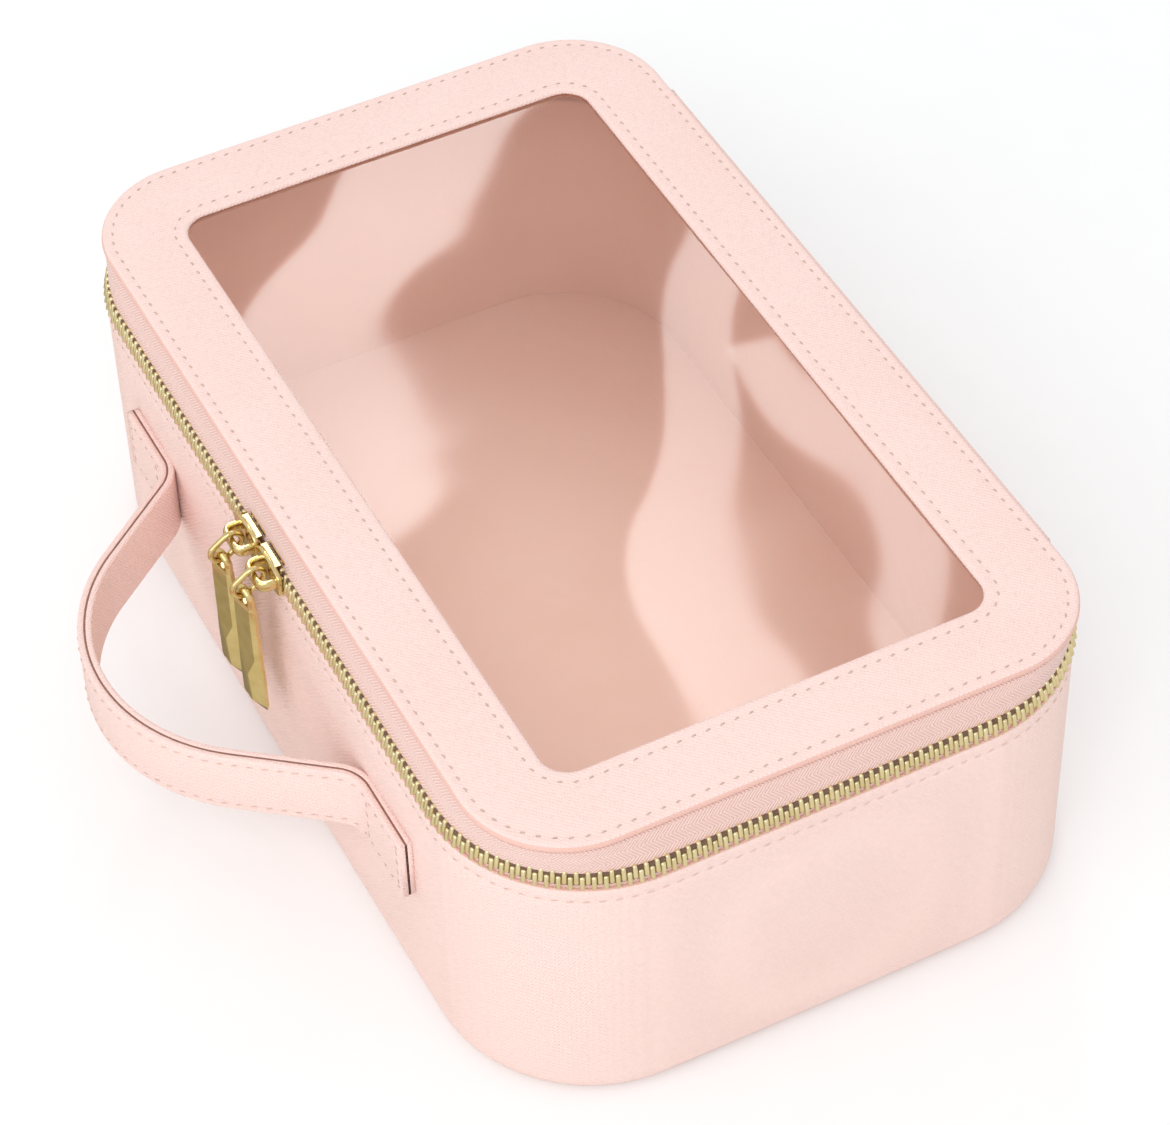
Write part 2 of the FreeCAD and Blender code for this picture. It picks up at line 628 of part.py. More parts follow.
def make_tab(label, side):
    """A flat bar with an eye at the top and cut facets at the foot, hanging from the ring."""
    body = new_body(label)
    out, high = ring_far_end()
    eye_level = high - size("ring_bend") + size("tab_eye") / 2 - size("wire") / 2 - 2 * size("fit")
    top = eye_level + value("tab_eye/2 + tab_eye_wall")
    across = side * value(SLIDER_MIDDLE)
    bar = block(body, "PartDesign::AdditiveBox", label + "_bar", "Sizes.tab_width", "Sizes.tab_skin",
                "Sizes.tab_length", f"{across} - Sizes.tab_width / 2", f"{-out} - Sizes.tab_skin / 2",
                f"{top} - Sizes.tab_length")
    shoulders = edges_along_y(bar, lambda c: abs(c.z - top) < TOLERANCE)
    rounded = round_edges(body, label + "_shoulders", bar, shoulders, "tab_corner")
    foot = top - size("tab_length")
    facets = body.newObject("PartDesign::Chamfer", label + "_facets")
    facets.Base = (rounded, level_edges(rounded, foot))
    facets.setExpression("Size", "Sizes.tab_facet")
    doc.recompute()
    eye = body.newObject("PartDesign::SubtractiveCylinder", label + "_eye")
    eye.setExpression("Radius", "Sizes.tab_eye / 2")
    eye.setExpression("Height", "2 * Sizes.tab_skin")
    eye.Placement = FreeCAD.Placement(FreeCAD.Vector(across, -out + size("tab_skin"), eye_level),
                                      FreeCAD.Rotation(FreeCAD.Vector(1, 0, 0), 90))
    doc.recompute()


for hand, sign in (("left", -1), ("right", 1)):
    make_slider("slider_" + hand, sign)
    make_ring("pull_ring_" + hand, sign)
    make_tab("pull_tab_" + hand, sign)

doc.recompute()
for thing in doc.Objects:
    if "Invalid" in thing.State or "Error" in thing.State:
        raise RuntimeError(f"{thing.Label} failed: {thing.State}")
for piece in sub_parts:
    if piece.Shape.isNull() or not piece.Shape.isValid():
        raise RuntimeError(f"{piece.Label} has no valid shape")
os.makedirs("parts", exist_ok=True)
for piece in sub_parts:
    piece.Shape.exportStep(f"parts/{piece.Label}.step")
    box = piece.Shape.BoundBox
    print(f"{piece.Label}: {len(piece.Shape.Solids)} solid, {piece.Shape.Volume:.0f} mm3,"
          f" z {box.ZMin:.2f} to {box.ZMax:.2f}")
print("pull pivot:", [round(number, 3) for number in ring_far_end()])
print("bridge axis:", round(value(BRIDGE_AXIS), 3), round(value(CHAIN), 3))
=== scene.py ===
import math

import bmesh
import bpy
import numpy as np
from mathutils import Matrix, Vector


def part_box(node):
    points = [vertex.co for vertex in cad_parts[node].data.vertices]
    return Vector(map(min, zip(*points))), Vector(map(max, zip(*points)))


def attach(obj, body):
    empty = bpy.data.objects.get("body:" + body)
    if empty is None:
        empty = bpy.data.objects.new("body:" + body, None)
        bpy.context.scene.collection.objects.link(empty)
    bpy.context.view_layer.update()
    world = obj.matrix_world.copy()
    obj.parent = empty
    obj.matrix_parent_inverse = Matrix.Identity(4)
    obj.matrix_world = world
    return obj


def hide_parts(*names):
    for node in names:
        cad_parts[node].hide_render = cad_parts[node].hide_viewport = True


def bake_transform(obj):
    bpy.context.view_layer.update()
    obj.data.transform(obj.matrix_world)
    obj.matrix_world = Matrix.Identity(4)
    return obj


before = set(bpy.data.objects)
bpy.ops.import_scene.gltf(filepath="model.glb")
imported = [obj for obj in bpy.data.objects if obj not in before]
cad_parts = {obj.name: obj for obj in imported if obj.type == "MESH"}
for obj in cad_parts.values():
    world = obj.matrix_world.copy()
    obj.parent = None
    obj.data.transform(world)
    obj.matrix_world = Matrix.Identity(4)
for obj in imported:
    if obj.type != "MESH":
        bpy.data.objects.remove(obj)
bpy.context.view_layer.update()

MM = 0.001


# Lid leather: a flat frame round the window, its outer edge folded over the board and its window
# edge turned under. Fine cross-hatched grain is pressed into the coated leather.

LID_HALF = [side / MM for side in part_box("lid_skin")[1][:2]]
LID_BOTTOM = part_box("lid_skin")[0].z / MM
LID_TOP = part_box("lid_skin")[1].z / MM
LID_CORNER = 26.0
WINDOW_MARGIN = 21.0
WINDOW_CORNER = WINDOW_MARGIN + 7.0
# Section points: distance in from the window's edge or the rim, and rise over the lid's top.
WINDOW_EDGE = [(0.1, -1.0), (0.0, -0.6), (-0.2, -0.25), (-0.7, -0.02), (-1.4, 0.0), (-2.6, -0.05),
               (-3.2, -0.16), (-3.8, -0.05)]
FRAME_FLAT = [(15.0, WINDOW_CORNER), (9.0, LID_CORNER)]
RIM_GROOVE = [(3.4, -0.05), (2.8, -0.16), (2.2, -0.06)]
LEATHER_SKIN = 1.0
FOLD, FOLD_STEPS, FOLD_PAINTED_SHADE_ROWS = 1.2, 8, 7
RIM_TURN_IN, WINDOW_TURN_IN = 3.0, 2.0
LONG_STEPS, SHORT_STEPS, TURN_STEPS = 64, 40, 18
LEATHER_TONE = (0.93, 0.705, 0.655, 1)
LEATHER_SHADE = (0.87, 0.595, 0.53, 1)
# Two darker pinks, used as painted shade on the lid rim's side and on the wall's top lip.
PAINTED_SHADE_PINK = (0.84, 0.53, 0.46, 1)
PAINTED_SHADE_PINK_DARK = (0.72, 0.40, 0.33, 1)
HATCH_DIRECTIONS = ((1, 1, 1), (1, -1, -1), (1, 1, -1))
HATCH_RATE = 5200.0
WANDER_SCALE, PEBBLE_SCALE, CLOUD_SCALE = 700.0, 450.0, 24.0
WANDER_REACH, PEBBLE_HEIGHT, CLOUD_SHARE, HATCH_SHARE = 0.0008, 3.0, 0.22, 0.22


def outline(inset, corner, half):
    """Points, outward normals and swell (0 at corners, 1 mid-side) of an inset rounded rectangle."""
    half_x, half_y = half[0] - inset, half[1] - inset
    bend = max(corner - inset, 0.5)
    x, y = half_x - bend, half_y - bend
    runs = [((-x, -half_y), (x, -half_y)), ((half_x, -y), (half_x, y)),
            ((x, half_y), (-x, half_y)), ((-half_x, y), (-half_x, -y))]
    turns = [((x, -y), -90), ((x, y), 0), ((-x, y), 90), ((-x, -y), 180)]
    spots, normals, swell = [], [], []
    for side, ((start, end), (centre, turn)) in enumerate(zip(runs, turns)):
        facing = math.radians(turn)
        steps = LONG_STEPS if side % 2 == 0 else SHORT_STEPS
        for step in range(steps):
            share = step / steps
            spots.append([a + (b - a) * share for a, b in zip(start, end)])
            normals.append((math.cos(facing), math.sin(facing)))
            swell.append(math.sin(math.pi * share) * steps / LONG_STEPS)
        for step in range(TURN_STEPS):
            angle = facing + math.pi / 2 * step / TURN_STEPS
            normals.append((math.cos(angle), math.sin(angle)))
            spots.append([c + bend * n for c, n in zip(centre, normals[-1])])
            swell.append(0.0)
    return np.array(spots), np.array(normals), np.array(swell)


def ring(inset, level, corner=LID_CORNER, half=LID_HALF, push=0.0):
    """One loop of points at a level; push moves the middles of the sides outwards."""
    spots, normals, swell = outline(inset, corner, half)
    spots = spots + normals * (swell * push)[:, None]
    return np.column_stack([spots, np.full(len(spots), level)])


def add_piece(name, points, faces, material, uvs=None):
    """A new object from points in millimetres, with its faces turned outwards."""
    mesh = bpy.data.meshes.new(name)
    mesh.from_pydata((np.asarray(points, float) * MM).tolist(), [], faces)
    if uvs is not None:
        layer = mesh.uv_layers.new(name="UVMap")
        layer.data.foreach_set("uv", (np.asarray(uvs, np.float32) * MM).ravel())
    work = bmesh.new()
    work.from_mesh(mesh)
    bmesh.ops.recalc_face_normals(work, faces=work.faces)
    work.to_mesh(mesh)
    work.free()
    mesh.shade_smooth()
    mesh.materials.append(material)
    piece = bpy.data.objects.new(name, mesh)
    bpy.context.scene.collection.objects.link(piece)
    return piece


def quads(rows, count, start=0, around=True, through=False):
    """Faces between rows of points; through joins the last row to the first."""
    faces = []
    for row in range(rows if through else rows - 1):
        near, far = start + row * count, start + (row + 1) % rows * count
        for column in range(count if around else count - 1):
            after = (column + 1) % count
            faces.append((near + column, near + after, far + after, far + column))
    return faces


def end_caps(rows, count, start=0):
    """One face over the first row of points and one over the last."""
    return [tuple(range(start + first, start + first + count)) for first in (0, (rows - 1) * count)]


def loft(name, rings, material, around=True, through=False, caps=False):
    """A skin over loops of equal length. The map holds distances along and across the loops."""
    points = np.array(rings, float)
    rows, count = points.shape[:2]
    along = np.linalg.norm(np.roll(points, -1, 1) - points, axis=2).mean(0)
    along = np.concatenate([[0], np.cumsum(along)])
    across = np.linalg.norm(np.roll(points, -1, 0) - points, axis=2).mean(1)
    across = np.concatenate([[0], np.cumsum(across)])
    faces, uvs = quads(rows, count, 0, around, through), []
    for row in range(rows if through else rows - 1):
        for column in range(count if around else count - 1):
            uvs += [(along[column], across[row]), (along[column + 1], across[row]),
                    (along[column + 1], across[row + 1]), (along[column], across[row + 1])]
    if caps:
        faces += end_caps(rows, count)
        uvs += 2 * [(along[column], across[0]) for column in range(count)]
    return add_piece(name, points.reshape(-1, 3), faces, material, uvs)


def node(tree, kind, inputs=None, **settings):
    """A new node; each input is given a value, or another node's output to link."""
    made = tree.nodes.new(kind)
    for name, setting in settings.items():
        setattr(made, name, setting)
    for name, given in (inputs or {}).items():
        if isinstance(given, bpy.types.NodeSocket):
            tree.links.new(given, made.inputs[name])
        else:
            made.inputs[name].default_value = given
    return made


def mix_colour(tree, share, first, second):
    """Colour sockets of a Mix node go by number, because its kinds share their names."""
    return node(tree, "ShaderNodeMix", {0: share, 6: first, 7: second}, data_type="RGBA").outputs[2]


def noise(tree, scale, detail=2.0, **more):
    """Outputs of a noise on the object's own coordinates."""
    place = node(tree, "ShaderNodeTexCoord").outputs["Object"]
    given = {"Vector": place, "Scale": scale, "Detail": detail, **more}
    return node(tree, "ShaderNodeTexNoise", given).outputs


def maths(tree, operation, *given):
    """Output of a Math node."""
    return node(tree, "ShaderNodeMath", dict(enumerate(given)), operation=operation).outputs[0]


def bump(tree, strength, distance, height):
    """A normal bumped by a height."""
    given = {"Strength": strength, "Distance": distance, "Height": height}
    return node(tree, "ShaderNodeBump", given).outputs[0]


def new_group(name, sockets):
    group = bpy.data.node_groups.new(name, "ShaderNodeTree")
    for label, direction, kind in sockets:
        group.interface.new_socket(name=label, in_out=direction, socket_type="NodeSocket" + kind)
    return group, node(group, "NodeGroupInput").outputs, node(group, "NodeGroupOutput").inputs


def new_material(name, **values):
    material = bpy.data.materials.new(name)
    material.use_nodes = True
    shader = material.node_tree.nodes["Principled BSDF"]
    for socket, value in values.items():
        shader.inputs[socket.replace("_", " ")].default_value = value
    return material, material.node_tree, shader.inputs


def make_grain():
    """Cross-hatched coated grain: a cloudy colour between two tones, and a bumped normal."""
    group, given, out = new_group("pressed_grain", [
        ("Tone", "INPUT", "Color"), ("Shade", "INPUT", "Color"), ("Depth", "INPUT", "Float"),
        ("Colour", "OUTPUT", "Color"), ("Normal", "OUTPUT", "Vector")])
    place = node(group, "ShaderNodeTexCoord").outputs["Object"]
    wander = noise(group, WANDER_SCALE)["Color"]
    shift = node(group, "ShaderNodeVectorMath", {0: wander, "Scale": WANDER_REACH}, operation="SCALE")
    moved = node(group, "ShaderNodeVectorMath", {0: place, 1: shift.outputs[0]}, operation="ADD").outputs[0]
    height = maths(group, "MULTIPLY", noise(group, PEBBLE_SCALE, 4.0)["Fac"], PEBBLE_HEIGHT)
    for direction in HATCH_DIRECTIONS:
        across = node(group, "ShaderNodeVectorMath", {0: moved, 1: direction}, operation="DOT_PRODUCT")
        wave = maths(group, "SINE", maths(group, "MULTIPLY", across.outputs["Value"], HATCH_RATE))
        height = maths(group, "ADD", height, wave)
    cloud = noise(group, CLOUD_SCALE, 5.0)["Fac"]
    broad = node(group, "ShaderNodeMapRange",
                 {"Value": cloud, "From Min": 0.35, "From Max": 0.75, "To Max": CLOUD_SHARE})
    fine = node(group, "ShaderNodeMapRange",
                {"Value": height, "From Min": -1.5, "From Max": 4.0, "To Min": HATCH_SHARE, "To Max": 0.0})
    share = maths(group, "ADD", broad.outputs[0], fine.outputs[0])
    group.links.new(mix_colour(group, share, given["Tone"], given["Shade"]), out["Colour"])
    group.links.new(bump(group, given["Depth"], 0.0001, height), out["Normal"])
    return group


GRAIN = make_grain()


def grained(name, tone, shade, depth, **values):
    """A grained leather in two tones."""
    material, tree, shader = new_material(name, **values)
    grain = node(tree, "ShaderNodeGroup", {"Tone": tone, "Shade": shade, "Depth": depth}, node_tree=GRAIN)
    tree.links.new(grain.outputs["Colour"], shader["Base Color"])
    tree.links.new(grain.outputs["Normal"], shader["Normal"])
    return material


LEATHER = grained("pink_leather", LEATHER_TONE, LEATHER_SHADE, 0.45, Roughness=0.5, Specular_IOR_Level=0.35)
LID_SECTION = [(WINDOW_MARGIN + shift, LID_TOP + rise, WINDOW_CORNER) for shift, rise in WINDOW_EDGE]
LID_SECTION += [(inset, LID_TOP, corner) for inset, corner in FRAME_FLAT]
LID_SECTION += [(inset, LID_TOP + rise, LID_CORNER) for inset, rise in RIM_GROOVE]
fold_middle = (LID_TOP + LID_BOTTOM) / 2
for step in range(FOLD_STEPS + 1):
    turn = math.radians(90 - 180 * step / FOLD_STEPS)
    LID_SECTION.append((FOLD - FOLD * math.cos(turn),
                        fold_middle + (LID_TOP - fold_middle) * math.sin(turn), LID_CORNER))
# The rows from partway round the rim's roundover down to its underside take the darker leather, as painted
# shade on the rim's side.
PAINTED_SHADE_ROWS = (len(LID_SECTION) - FOLD_PAINTED_SHADE_ROWS, len(LID_SECTION))
LID_SECTION += [(RIM_TURN_IN, LID_BOTTOM, LID_CORNER),
                (WINDOW_MARGIN - WINDOW_TURN_IN, LID_TOP - LEATHER_SKIN, WINDOW_CORNER)]

lid_leather = loft("lid_leather", [ring(*spot) for spot in LID_SECTION], LEATHER, through=True)
# A darker leather, used only as painted shade on the lid rim's side and the wall's top lip.
LEATHER_PAINTED_SHADE = grained("leather_painted_shade", PAINTED_SHADE_PINK, PAINTED_SHADE_PINK_DARK, 0.3, Roughness=0.55)
lid_leather.data.materials.append(LEATHER_PAINTED_SHADE)
LOOP_COUNT = len(ring(0, 0))
for face in lid_leather.data.polygons:
    if PAINTED_SHADE_ROWS[0] <= face.index // LOOP_COUNT < PAINTED_SHADE_ROWS[1]:
        face.material_index = 1
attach(lid_leather, "lid")
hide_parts("lid_skin")


# Lid stitching: one row of thread round the window and one round the outer edge, each stitch a
# little slanted and pulled into the leather at its ends.

STITCH_PITCH = 3.6
STITCH_LENGTH = 1.8
SUNK_LENGTH = 1.25
THREAD = 0.2
STITCH_SLANT = math.radians(14)
THREAD_TONE = (0.72, 0.54, 0.46, 1)
THREAD_SHADE = 0.6
TWIST_SCALE = 1800.0
STITCH_RINGS, STITCH_SIDES = 5, 6
STITCH_ARCH, STITCH_SINK, THREAD_FLATNESS = 0.75, 1.2, 0.6
WINDOW_SEAM, RIM_SEAM, SEAM_SINK = 3.2, 2.8, 0.12


def even_spots(points, pitch, closed=False):
    """Points and directions at an even pitch along a line of points."""
    line = np.vstack([points, points[:1]]) if closed else np.asarray(points, float)
    lengths = np.linalg.norm(np.diff(line, axis=0), axis=1)
    total = np.concatenate([[0], np.cumsum(lengths)])
    count = max(1, round(total[-1] / pitch))
    for number in range(count):
        at = (number + 0.5) * total[-1] / count
        part = min(np.searchsorted(total, at, side="right") - 1, len(lengths) - 1)
        share = (at - total[part]) / lengths[part]
        stretch = line[part + 1] - line[part]
        yield line[part] + stretch * share, stretch / lengths[part]


def stitch_row(name, rows, facing, body, material, length=STITCH_LENGTH):
    """Stitches along lines of points; facing gives the surface normal at a point."""
    points, faces = [], []
    for line, closed in rows:
        for spot, direction in even_spots(line, STITCH_PITCH, closed):
            out = np.array(facing(spot), float)
            side = np.cross(out, direction)
            lie = direction * math.cos(STITCH_SLANT) + side * math.sin(STITCH_SLANT)
            side = np.cross(out, lie)
            first = len(points)
            for step in range(STITCH_RINGS):
                share = 2 * step / (STITCH_RINGS - 1) - 1
                lift = THREAD * (STITCH_ARCH - STITCH_SINK * share ** 2)
                for corner in range(STITCH_SIDES):
                    angle = 2 * math.pi * corner / STITCH_SIDES
                    points.append(spot + lie * share * length / 2 + side * THREAD * math.cos(angle)
                                  + out * (lift + THREAD_FLATNESS * THREAD * math.sin(angle)))
            faces += quads(STITCH_RINGS, STITCH_SIDES, first) + end_caps(STITCH_RINGS, STITCH_SIDES, first)
    piece = add_piece(name, points, faces, material)
    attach(piece, body)


def shaded(tone, share):
    """A tone made darker or paler by a share."""
    return tuple(min(1, share * value) for value in tone[:3]) + (1,)


def speckled(name, scale, first, second, detail=2.0, **values):
    """A plain material in two tones, mixed by fine noise."""
    material, tree, shader = new_material(name, **values)
    speck = noise(tree, scale, detail)["Fac"]
    tree.links.new(mix_colour(tree, speck, first, second), shader["Base Color"])
    return material


THREAD_LOOK = speckled("sewing_thread", TWIST_SCALE, shaded(THREAD_TONE, THREAD_SHADE), THREAD_TONE,
                       Roughness=0.6, Sheen_Weight=0.2)
stitch_row("lid_stitches",
           [(ring(WINDOW_MARGIN - WINDOW_SEAM, LID_TOP - SEAM_SINK, WINDOW_CORNER), True),
            (ring(RIM_SEAM, LID_TOP - SEAM_SINK), True)],
           lambda spot: (0, 0, 1), "lid", THREAD_LOOK, SUNK_LENGTH)


# Window: a clear flexible sheet sewn under the frame. It is never quite flat, so it catches soft
# bands of light across its waves.

PANE_LOW, PANE_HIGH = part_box("window_pane")
PANE_GRID = (96, 60)
PANE_WAVE = 0.35
# Each ripple: size, rates along X and Y, and start.
PANE_RIPPLES = ((1.0, 5.1, 1.7, 0.6), (0.6, -4.3, 3.1, 0.0))
SHEET_WAVE_SCALE = 14.0
PANE_GLOSS, PANE_IOR, TWO_FACES = 0.04, 1.5, 1.7
PANE_TINT = (0.97, 0.96, 0.96, 1)


def pane_level(x, y):
    """A gentle swell and two crossing ripples."""
    share_x, share_y = x / (PANE_HIGH.x / MM), y / (PANE_HIGH.y / MM)
    held = max(0.0, (1 - share_x ** 2) * (1 - share_y ** 2)) ** 0.5
    ripple = sum(size * math.sin(rate_x * share_x + rate_y * share_y + start)
                 for size, rate_x, rate_y, start in PANE_RIPPLES)
    return held * PANE_WAVE * ripple


def make_pane(material):
    """The sheet as a grid of points at the middle of its thickness."""
    columns, rows = PANE_GRID
    points = []
    for row in range(rows + 1):
        for column in range(columns + 1):
            x = (PANE_LOW.x + (PANE_HIGH.x - PANE_LOW.x) * column / columns) / MM
            y = (PANE_LOW.y + (PANE_HIGH.y - PANE_LOW.y) * row / rows) / MM
            points.append((x, y, (PANE_LOW.z + PANE_HIGH.z) / 2 / MM + pane_level(x, y)))
    return add_piece("window_sheet", points, quads(rows + 1, columns + 1, around=False), material)


def make_clear():
    """A thin clear sheet: see-through, with the gloss of its two faces over it."""
    material, tree = new_material("clear_sheet")[:2]
    tree.nodes.remove(tree.nodes["Principled BSDF"])
    wavy = bump(tree, 0.25, 0.002, noise(tree, SHEET_WAVE_SCALE, 1.0)["Fac"])
    clear = node(tree, "ShaderNodeBsdfTransparent", {"Color": PANE_TINT})
    gloss = node(tree, "ShaderNodeBsdfGlossy", {"Roughness": PANE_GLOSS, "Normal": wavy})
    fresnel = node(tree, "ShaderNodeFresnel", {"IOR": PANE_IOR, "Normal": wavy})
    shine = maths(tree, "MULTIPLY", fresnel.outputs[0], TWO_FACES)
    mixed = node(tree, "ShaderNodeMixShader", {0: shine, 1: clear.outputs[0], 2: gloss.outputs[0]})
    tree.links.new(mixed.outputs[0], tree.nodes["Material Output"].inputs["Surface"])
    return material


window_sheet = make_pane(make_clear())
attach(window_sheet, "lid")
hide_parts("window_pane")


# Lid lining: a satin cloth frame glued under the lid board. It is turned up at the board's window
# edge and reaches out to the zip tape all round.

# Shaded and lit tones of the lining, painted into the crease hollows and onto the crease crests.
LINING_HOLLOW_SHADE = (0.92, 0.62, 0.50, 1)
LINING_CREST_LIGHT = (0.95, 0.71, 0.60, 1)
LINING_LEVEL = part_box("lid_lining")[0].z / MM
LID_LINING_SECTION = [
    (WINDOW_MARGIN - 0.9, LID_TOP - 1.7, WINDOW_CORNER), (WINDOW_MARGIN - 0.8, LINING_LEVEL, WINDOW_CORNER),
    (12.0, LINING_LEVEL - 0.15, WINDOW_CORNER), (1.4, LINING_LEVEL, LID_CORNER),
    (1.0, LINING_LEVEL, LID_CORNER)]
CREASE_SCALE, WEAVE_SCALE, WEAVE_SHARE = 28.0, 1500.0, 0.05


def make_satin():
    """Smooth lining cloth: a fine weave, soft broad creases with painted shade in their hollows and painted
    light on their crests, and a satin sheen.
    """
    material, tree, shader = new_material("lining_satin", Roughness=0.42, Sheen_Weight=0.35,
                                          Sheen_Roughness=0.4)
    crease = noise(tree, CREASE_SCALE, 3.0, Distortion=0.8)["Fac"]
    height = maths(tree, "MULTIPLY_ADD", noise(tree, WEAVE_SCALE)["Fac"], WEAVE_SHARE, crease)
    # The colour follows the crease height: painted shade in the hollows, painted light on the crests.
    tree.links.new(mix_colour(tree, crease, LINING_HOLLOW_SHADE, LINING_CREST_LIGHT), shader["Base Color"])
    tree.links.new(bump(tree, 0.5, 0.002, height), shader["Normal"])
    return material


SATIN = make_satin()
lid_lining = loft("lid_lining_cloth", [ring(*spot) for spot in LID_LINING_SECTION], SATIN, through=True)
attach(lid_lining, "lid")
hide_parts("lid_lining")


# Stiffeners: grey pressed board that holds the lid, the walls and the base in shape. Leather and
# lining hide it, so the CAD meshes themselves are shown.

BOARD_DARK, BOARD_TONE = (0.30, 0.28, 0.26, 1), (0.55, 0.52, 0.48, 1)
BOARD = speckled("grey_board", 350.0, BOARD_DARK, BOARD_TONE, 6.0, Roughness=0.85)
for name in ("lid_board_frame", "wall_board", "base_board"):
    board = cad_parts[name]
    board.data.materials.clear()
    board.data.materials.append(BOARD)


# Body leather: the wall wraps all four sides in one piece and is turned under the base. The sides
# stand a little proud between the corners, and the upper edge is folded down behind the tape.

BODY_HALF = [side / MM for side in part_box("wall_skin")[1][:2]]
BODY_CORNER = 36.0 + BODY_HALF[0] - LID_HALF[0]
WALL_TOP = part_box("wall_skin")[1].z / MM
BASE_ROUND, BASE_STEPS = 6.0, 8
TURN_IN, TURN_IN_EDGE = 10.0, 0.4
SIDE_SWELL, SWELL_POWER = 1.4, 0.8
# Section points: distance in from the wall's face, and drop below its top.
WALL_EDGE = [(2.2, 6.0), (1.6, 0.6), (1.1, 0.1), (0.6, 0.0), (0.2, 0.25), (0.0, 0.9), (0.0, 2.6),
             (0.12, 3.4), (0.25, 4.0), (0.12, 4.6), (0.0, 5.6)]
WALL_BACK_DROP = 6.5
WALL_LEVELS = 14
WALL_PAINTED_SHADE_ROWS = 4


def wall_swell(level):
    """How far the middle of a long side stands out at a level."""
    return SIDE_SWELL * math.sin(math.pi * min(1, max(0, level / WALL_TOP))) ** SWELL_POWER


def wall_ring(inset, level, push=0.0):
    """A loop that follows the outline of the body."""
    return ring(inset, level, BODY_CORNER, BODY_HALF, push)


def base_bend(radius, turns):
    """Section points round the lower edge of the wall."""
    return [(BASE_ROUND - radius * math.cos(turn), BASE_ROUND - radius * math.sin(turn)) for turn in turns]


side_top = WALL_TOP - WALL_EDGE[-1][1]
base_turns = [math.pi / 2 * step / BASE_STEPS for step in range(BASE_STEPS + 1)]
WALL_SECTION = [(inset, WALL_TOP - drop) for inset, drop in WALL_EDGE]
WALL_SECTION += [(0.0, side_top - (side_top - BASE_ROUND) * step / WALL_LEVELS)
                 for step in range(1, WALL_LEVELS)]
WALL_SECTION += base_bend(BASE_ROUND, base_turns)
WALL_SECTION += [(TURN_IN - TURN_IN_EDGE, 0.0), (TURN_IN, 0.0), (TURN_IN, LEATHER_SKIN)]
WALL_SECTION += base_bend(BASE_ROUND - LEATHER_SKIN, base_turns[::-1])
WALL_SECTION.append((LEATHER_SKIN, WALL_TOP - WALL_BACK_DROP))
wall_leather = loft("wall_leather", [wall_ring(inset, level, wall_swell(level))
                                     for inset, level in WALL_SECTION], LEATHER, through=True)
# The inner fold and top of the wall's upper edge take the darker leather, as painted shadow under the zip
# chain.
wall_leather.data.materials.append(LEATHER_PAINTED_SHADE)
for face in wall_leather.data.polygons:
    if face.index // LOOP_COUNT < WALL_PAINTED_SHADE_ROWS:
        face.material_index = 1
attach(wall_leather, "case")
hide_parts("wall_skin")


def wall_facing(spot):
    """Outward direction of the body wall at a point on it."""
    past = [abs(spot[axis]) - BODY_HALF[axis] + BODY_CORNER for axis in (0, 1)]
    away = np.array([math.copysign(max(0, past[axis]), spot[axis]) for axis in (0, 1)] + [0])
    return away / np.linalg.norm(away)


SEAM_DROP, SEAM_INSET = 4.0, 0.2
PALE_TONE, PALE_SHADE = (0.90, 0.66, 0.58, 1), 0.7
PALE_THREAD = speckled("pink_thread", TWIST_SCALE, shaded(PALE_TONE, PALE_SHADE), PALE_TONE,
                       Roughness=0.6, Sheen_Weight=0.2)
seam_level = WALL_TOP - SEAM_DROP
stitch_row("wall_stitches", [(wall_ring(SEAM_INSET, seam_level, wall_swell(seam_level)), True)],
           wall_facing, "case", PALE_THREAD)


# Base panel: a flat leather sheet glued to the base board. It lies inside the turned-under edge of
# the wall, flush with it, and the case stands on both.

BASE_SECTION = [(TURN_IN, 0.6), (TURN_IN + 0.1, 0.15), (TURN_IN + 0.6, 0.0), (TURN_IN + 30, 0.0),
                (BODY_HALF[1] - 1, 0.0)]
base_leather = loft("base_leather", [wall_ring(*spot) for spot in BASE_SECTION], LEATHER, caps=True)
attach(base_leather, "case")
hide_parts("base_skin")


# Body lining: satin cloth glued to the boards. The wall cloth is a little loose between its edges
# and is turned over the top of the board; the floor cloth is slightly padded.

LINING_INSET, LINING_SKIN = 4.25, 0.4
LINING_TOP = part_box("wall_lining")[1].z / MM
FLOOR_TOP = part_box("floor_lining")[1].z / MM
# Section points of the turned-over edge: distance in from the wall's face, and rise over the board.
LINING_TURN = [(1.9, -4.0), (1.9, 0.4), (3.0, 0.7), (4.1, 0.5)]
LINING_START, LINING_LEVELS = 0.5, 18
SLACK_DEPTH = 0.7
# Each wave: size, waves round the case, turn per millimetre of height, and start.
SLACK_WAVES = ((1.0, 9, 0.04, 0), (0.6, 23, -0.09, 1))


def lining_ring(level, slack):
    """A loop of the wall cloth, drawn in by waves of slack."""
    points = wall_ring(LINING_INSET, level)
    count = len(points)
    normals = outline(LINING_INSET, BODY_CORNER, BODY_HALF)[1]
    most = sum(wave[0] for wave in SLACK_WAVES)
    for number in range(count):
        turn = 2 * math.pi * number / count
        wave = sum(size * math.sin(rate * turn + climb * level + start)
                   for size, rate, climb, start in SLACK_WAVES)
        points[number, :2] -= normals[number] * slack * SLACK_DEPTH * (1 + wave / most) / 2
    return points


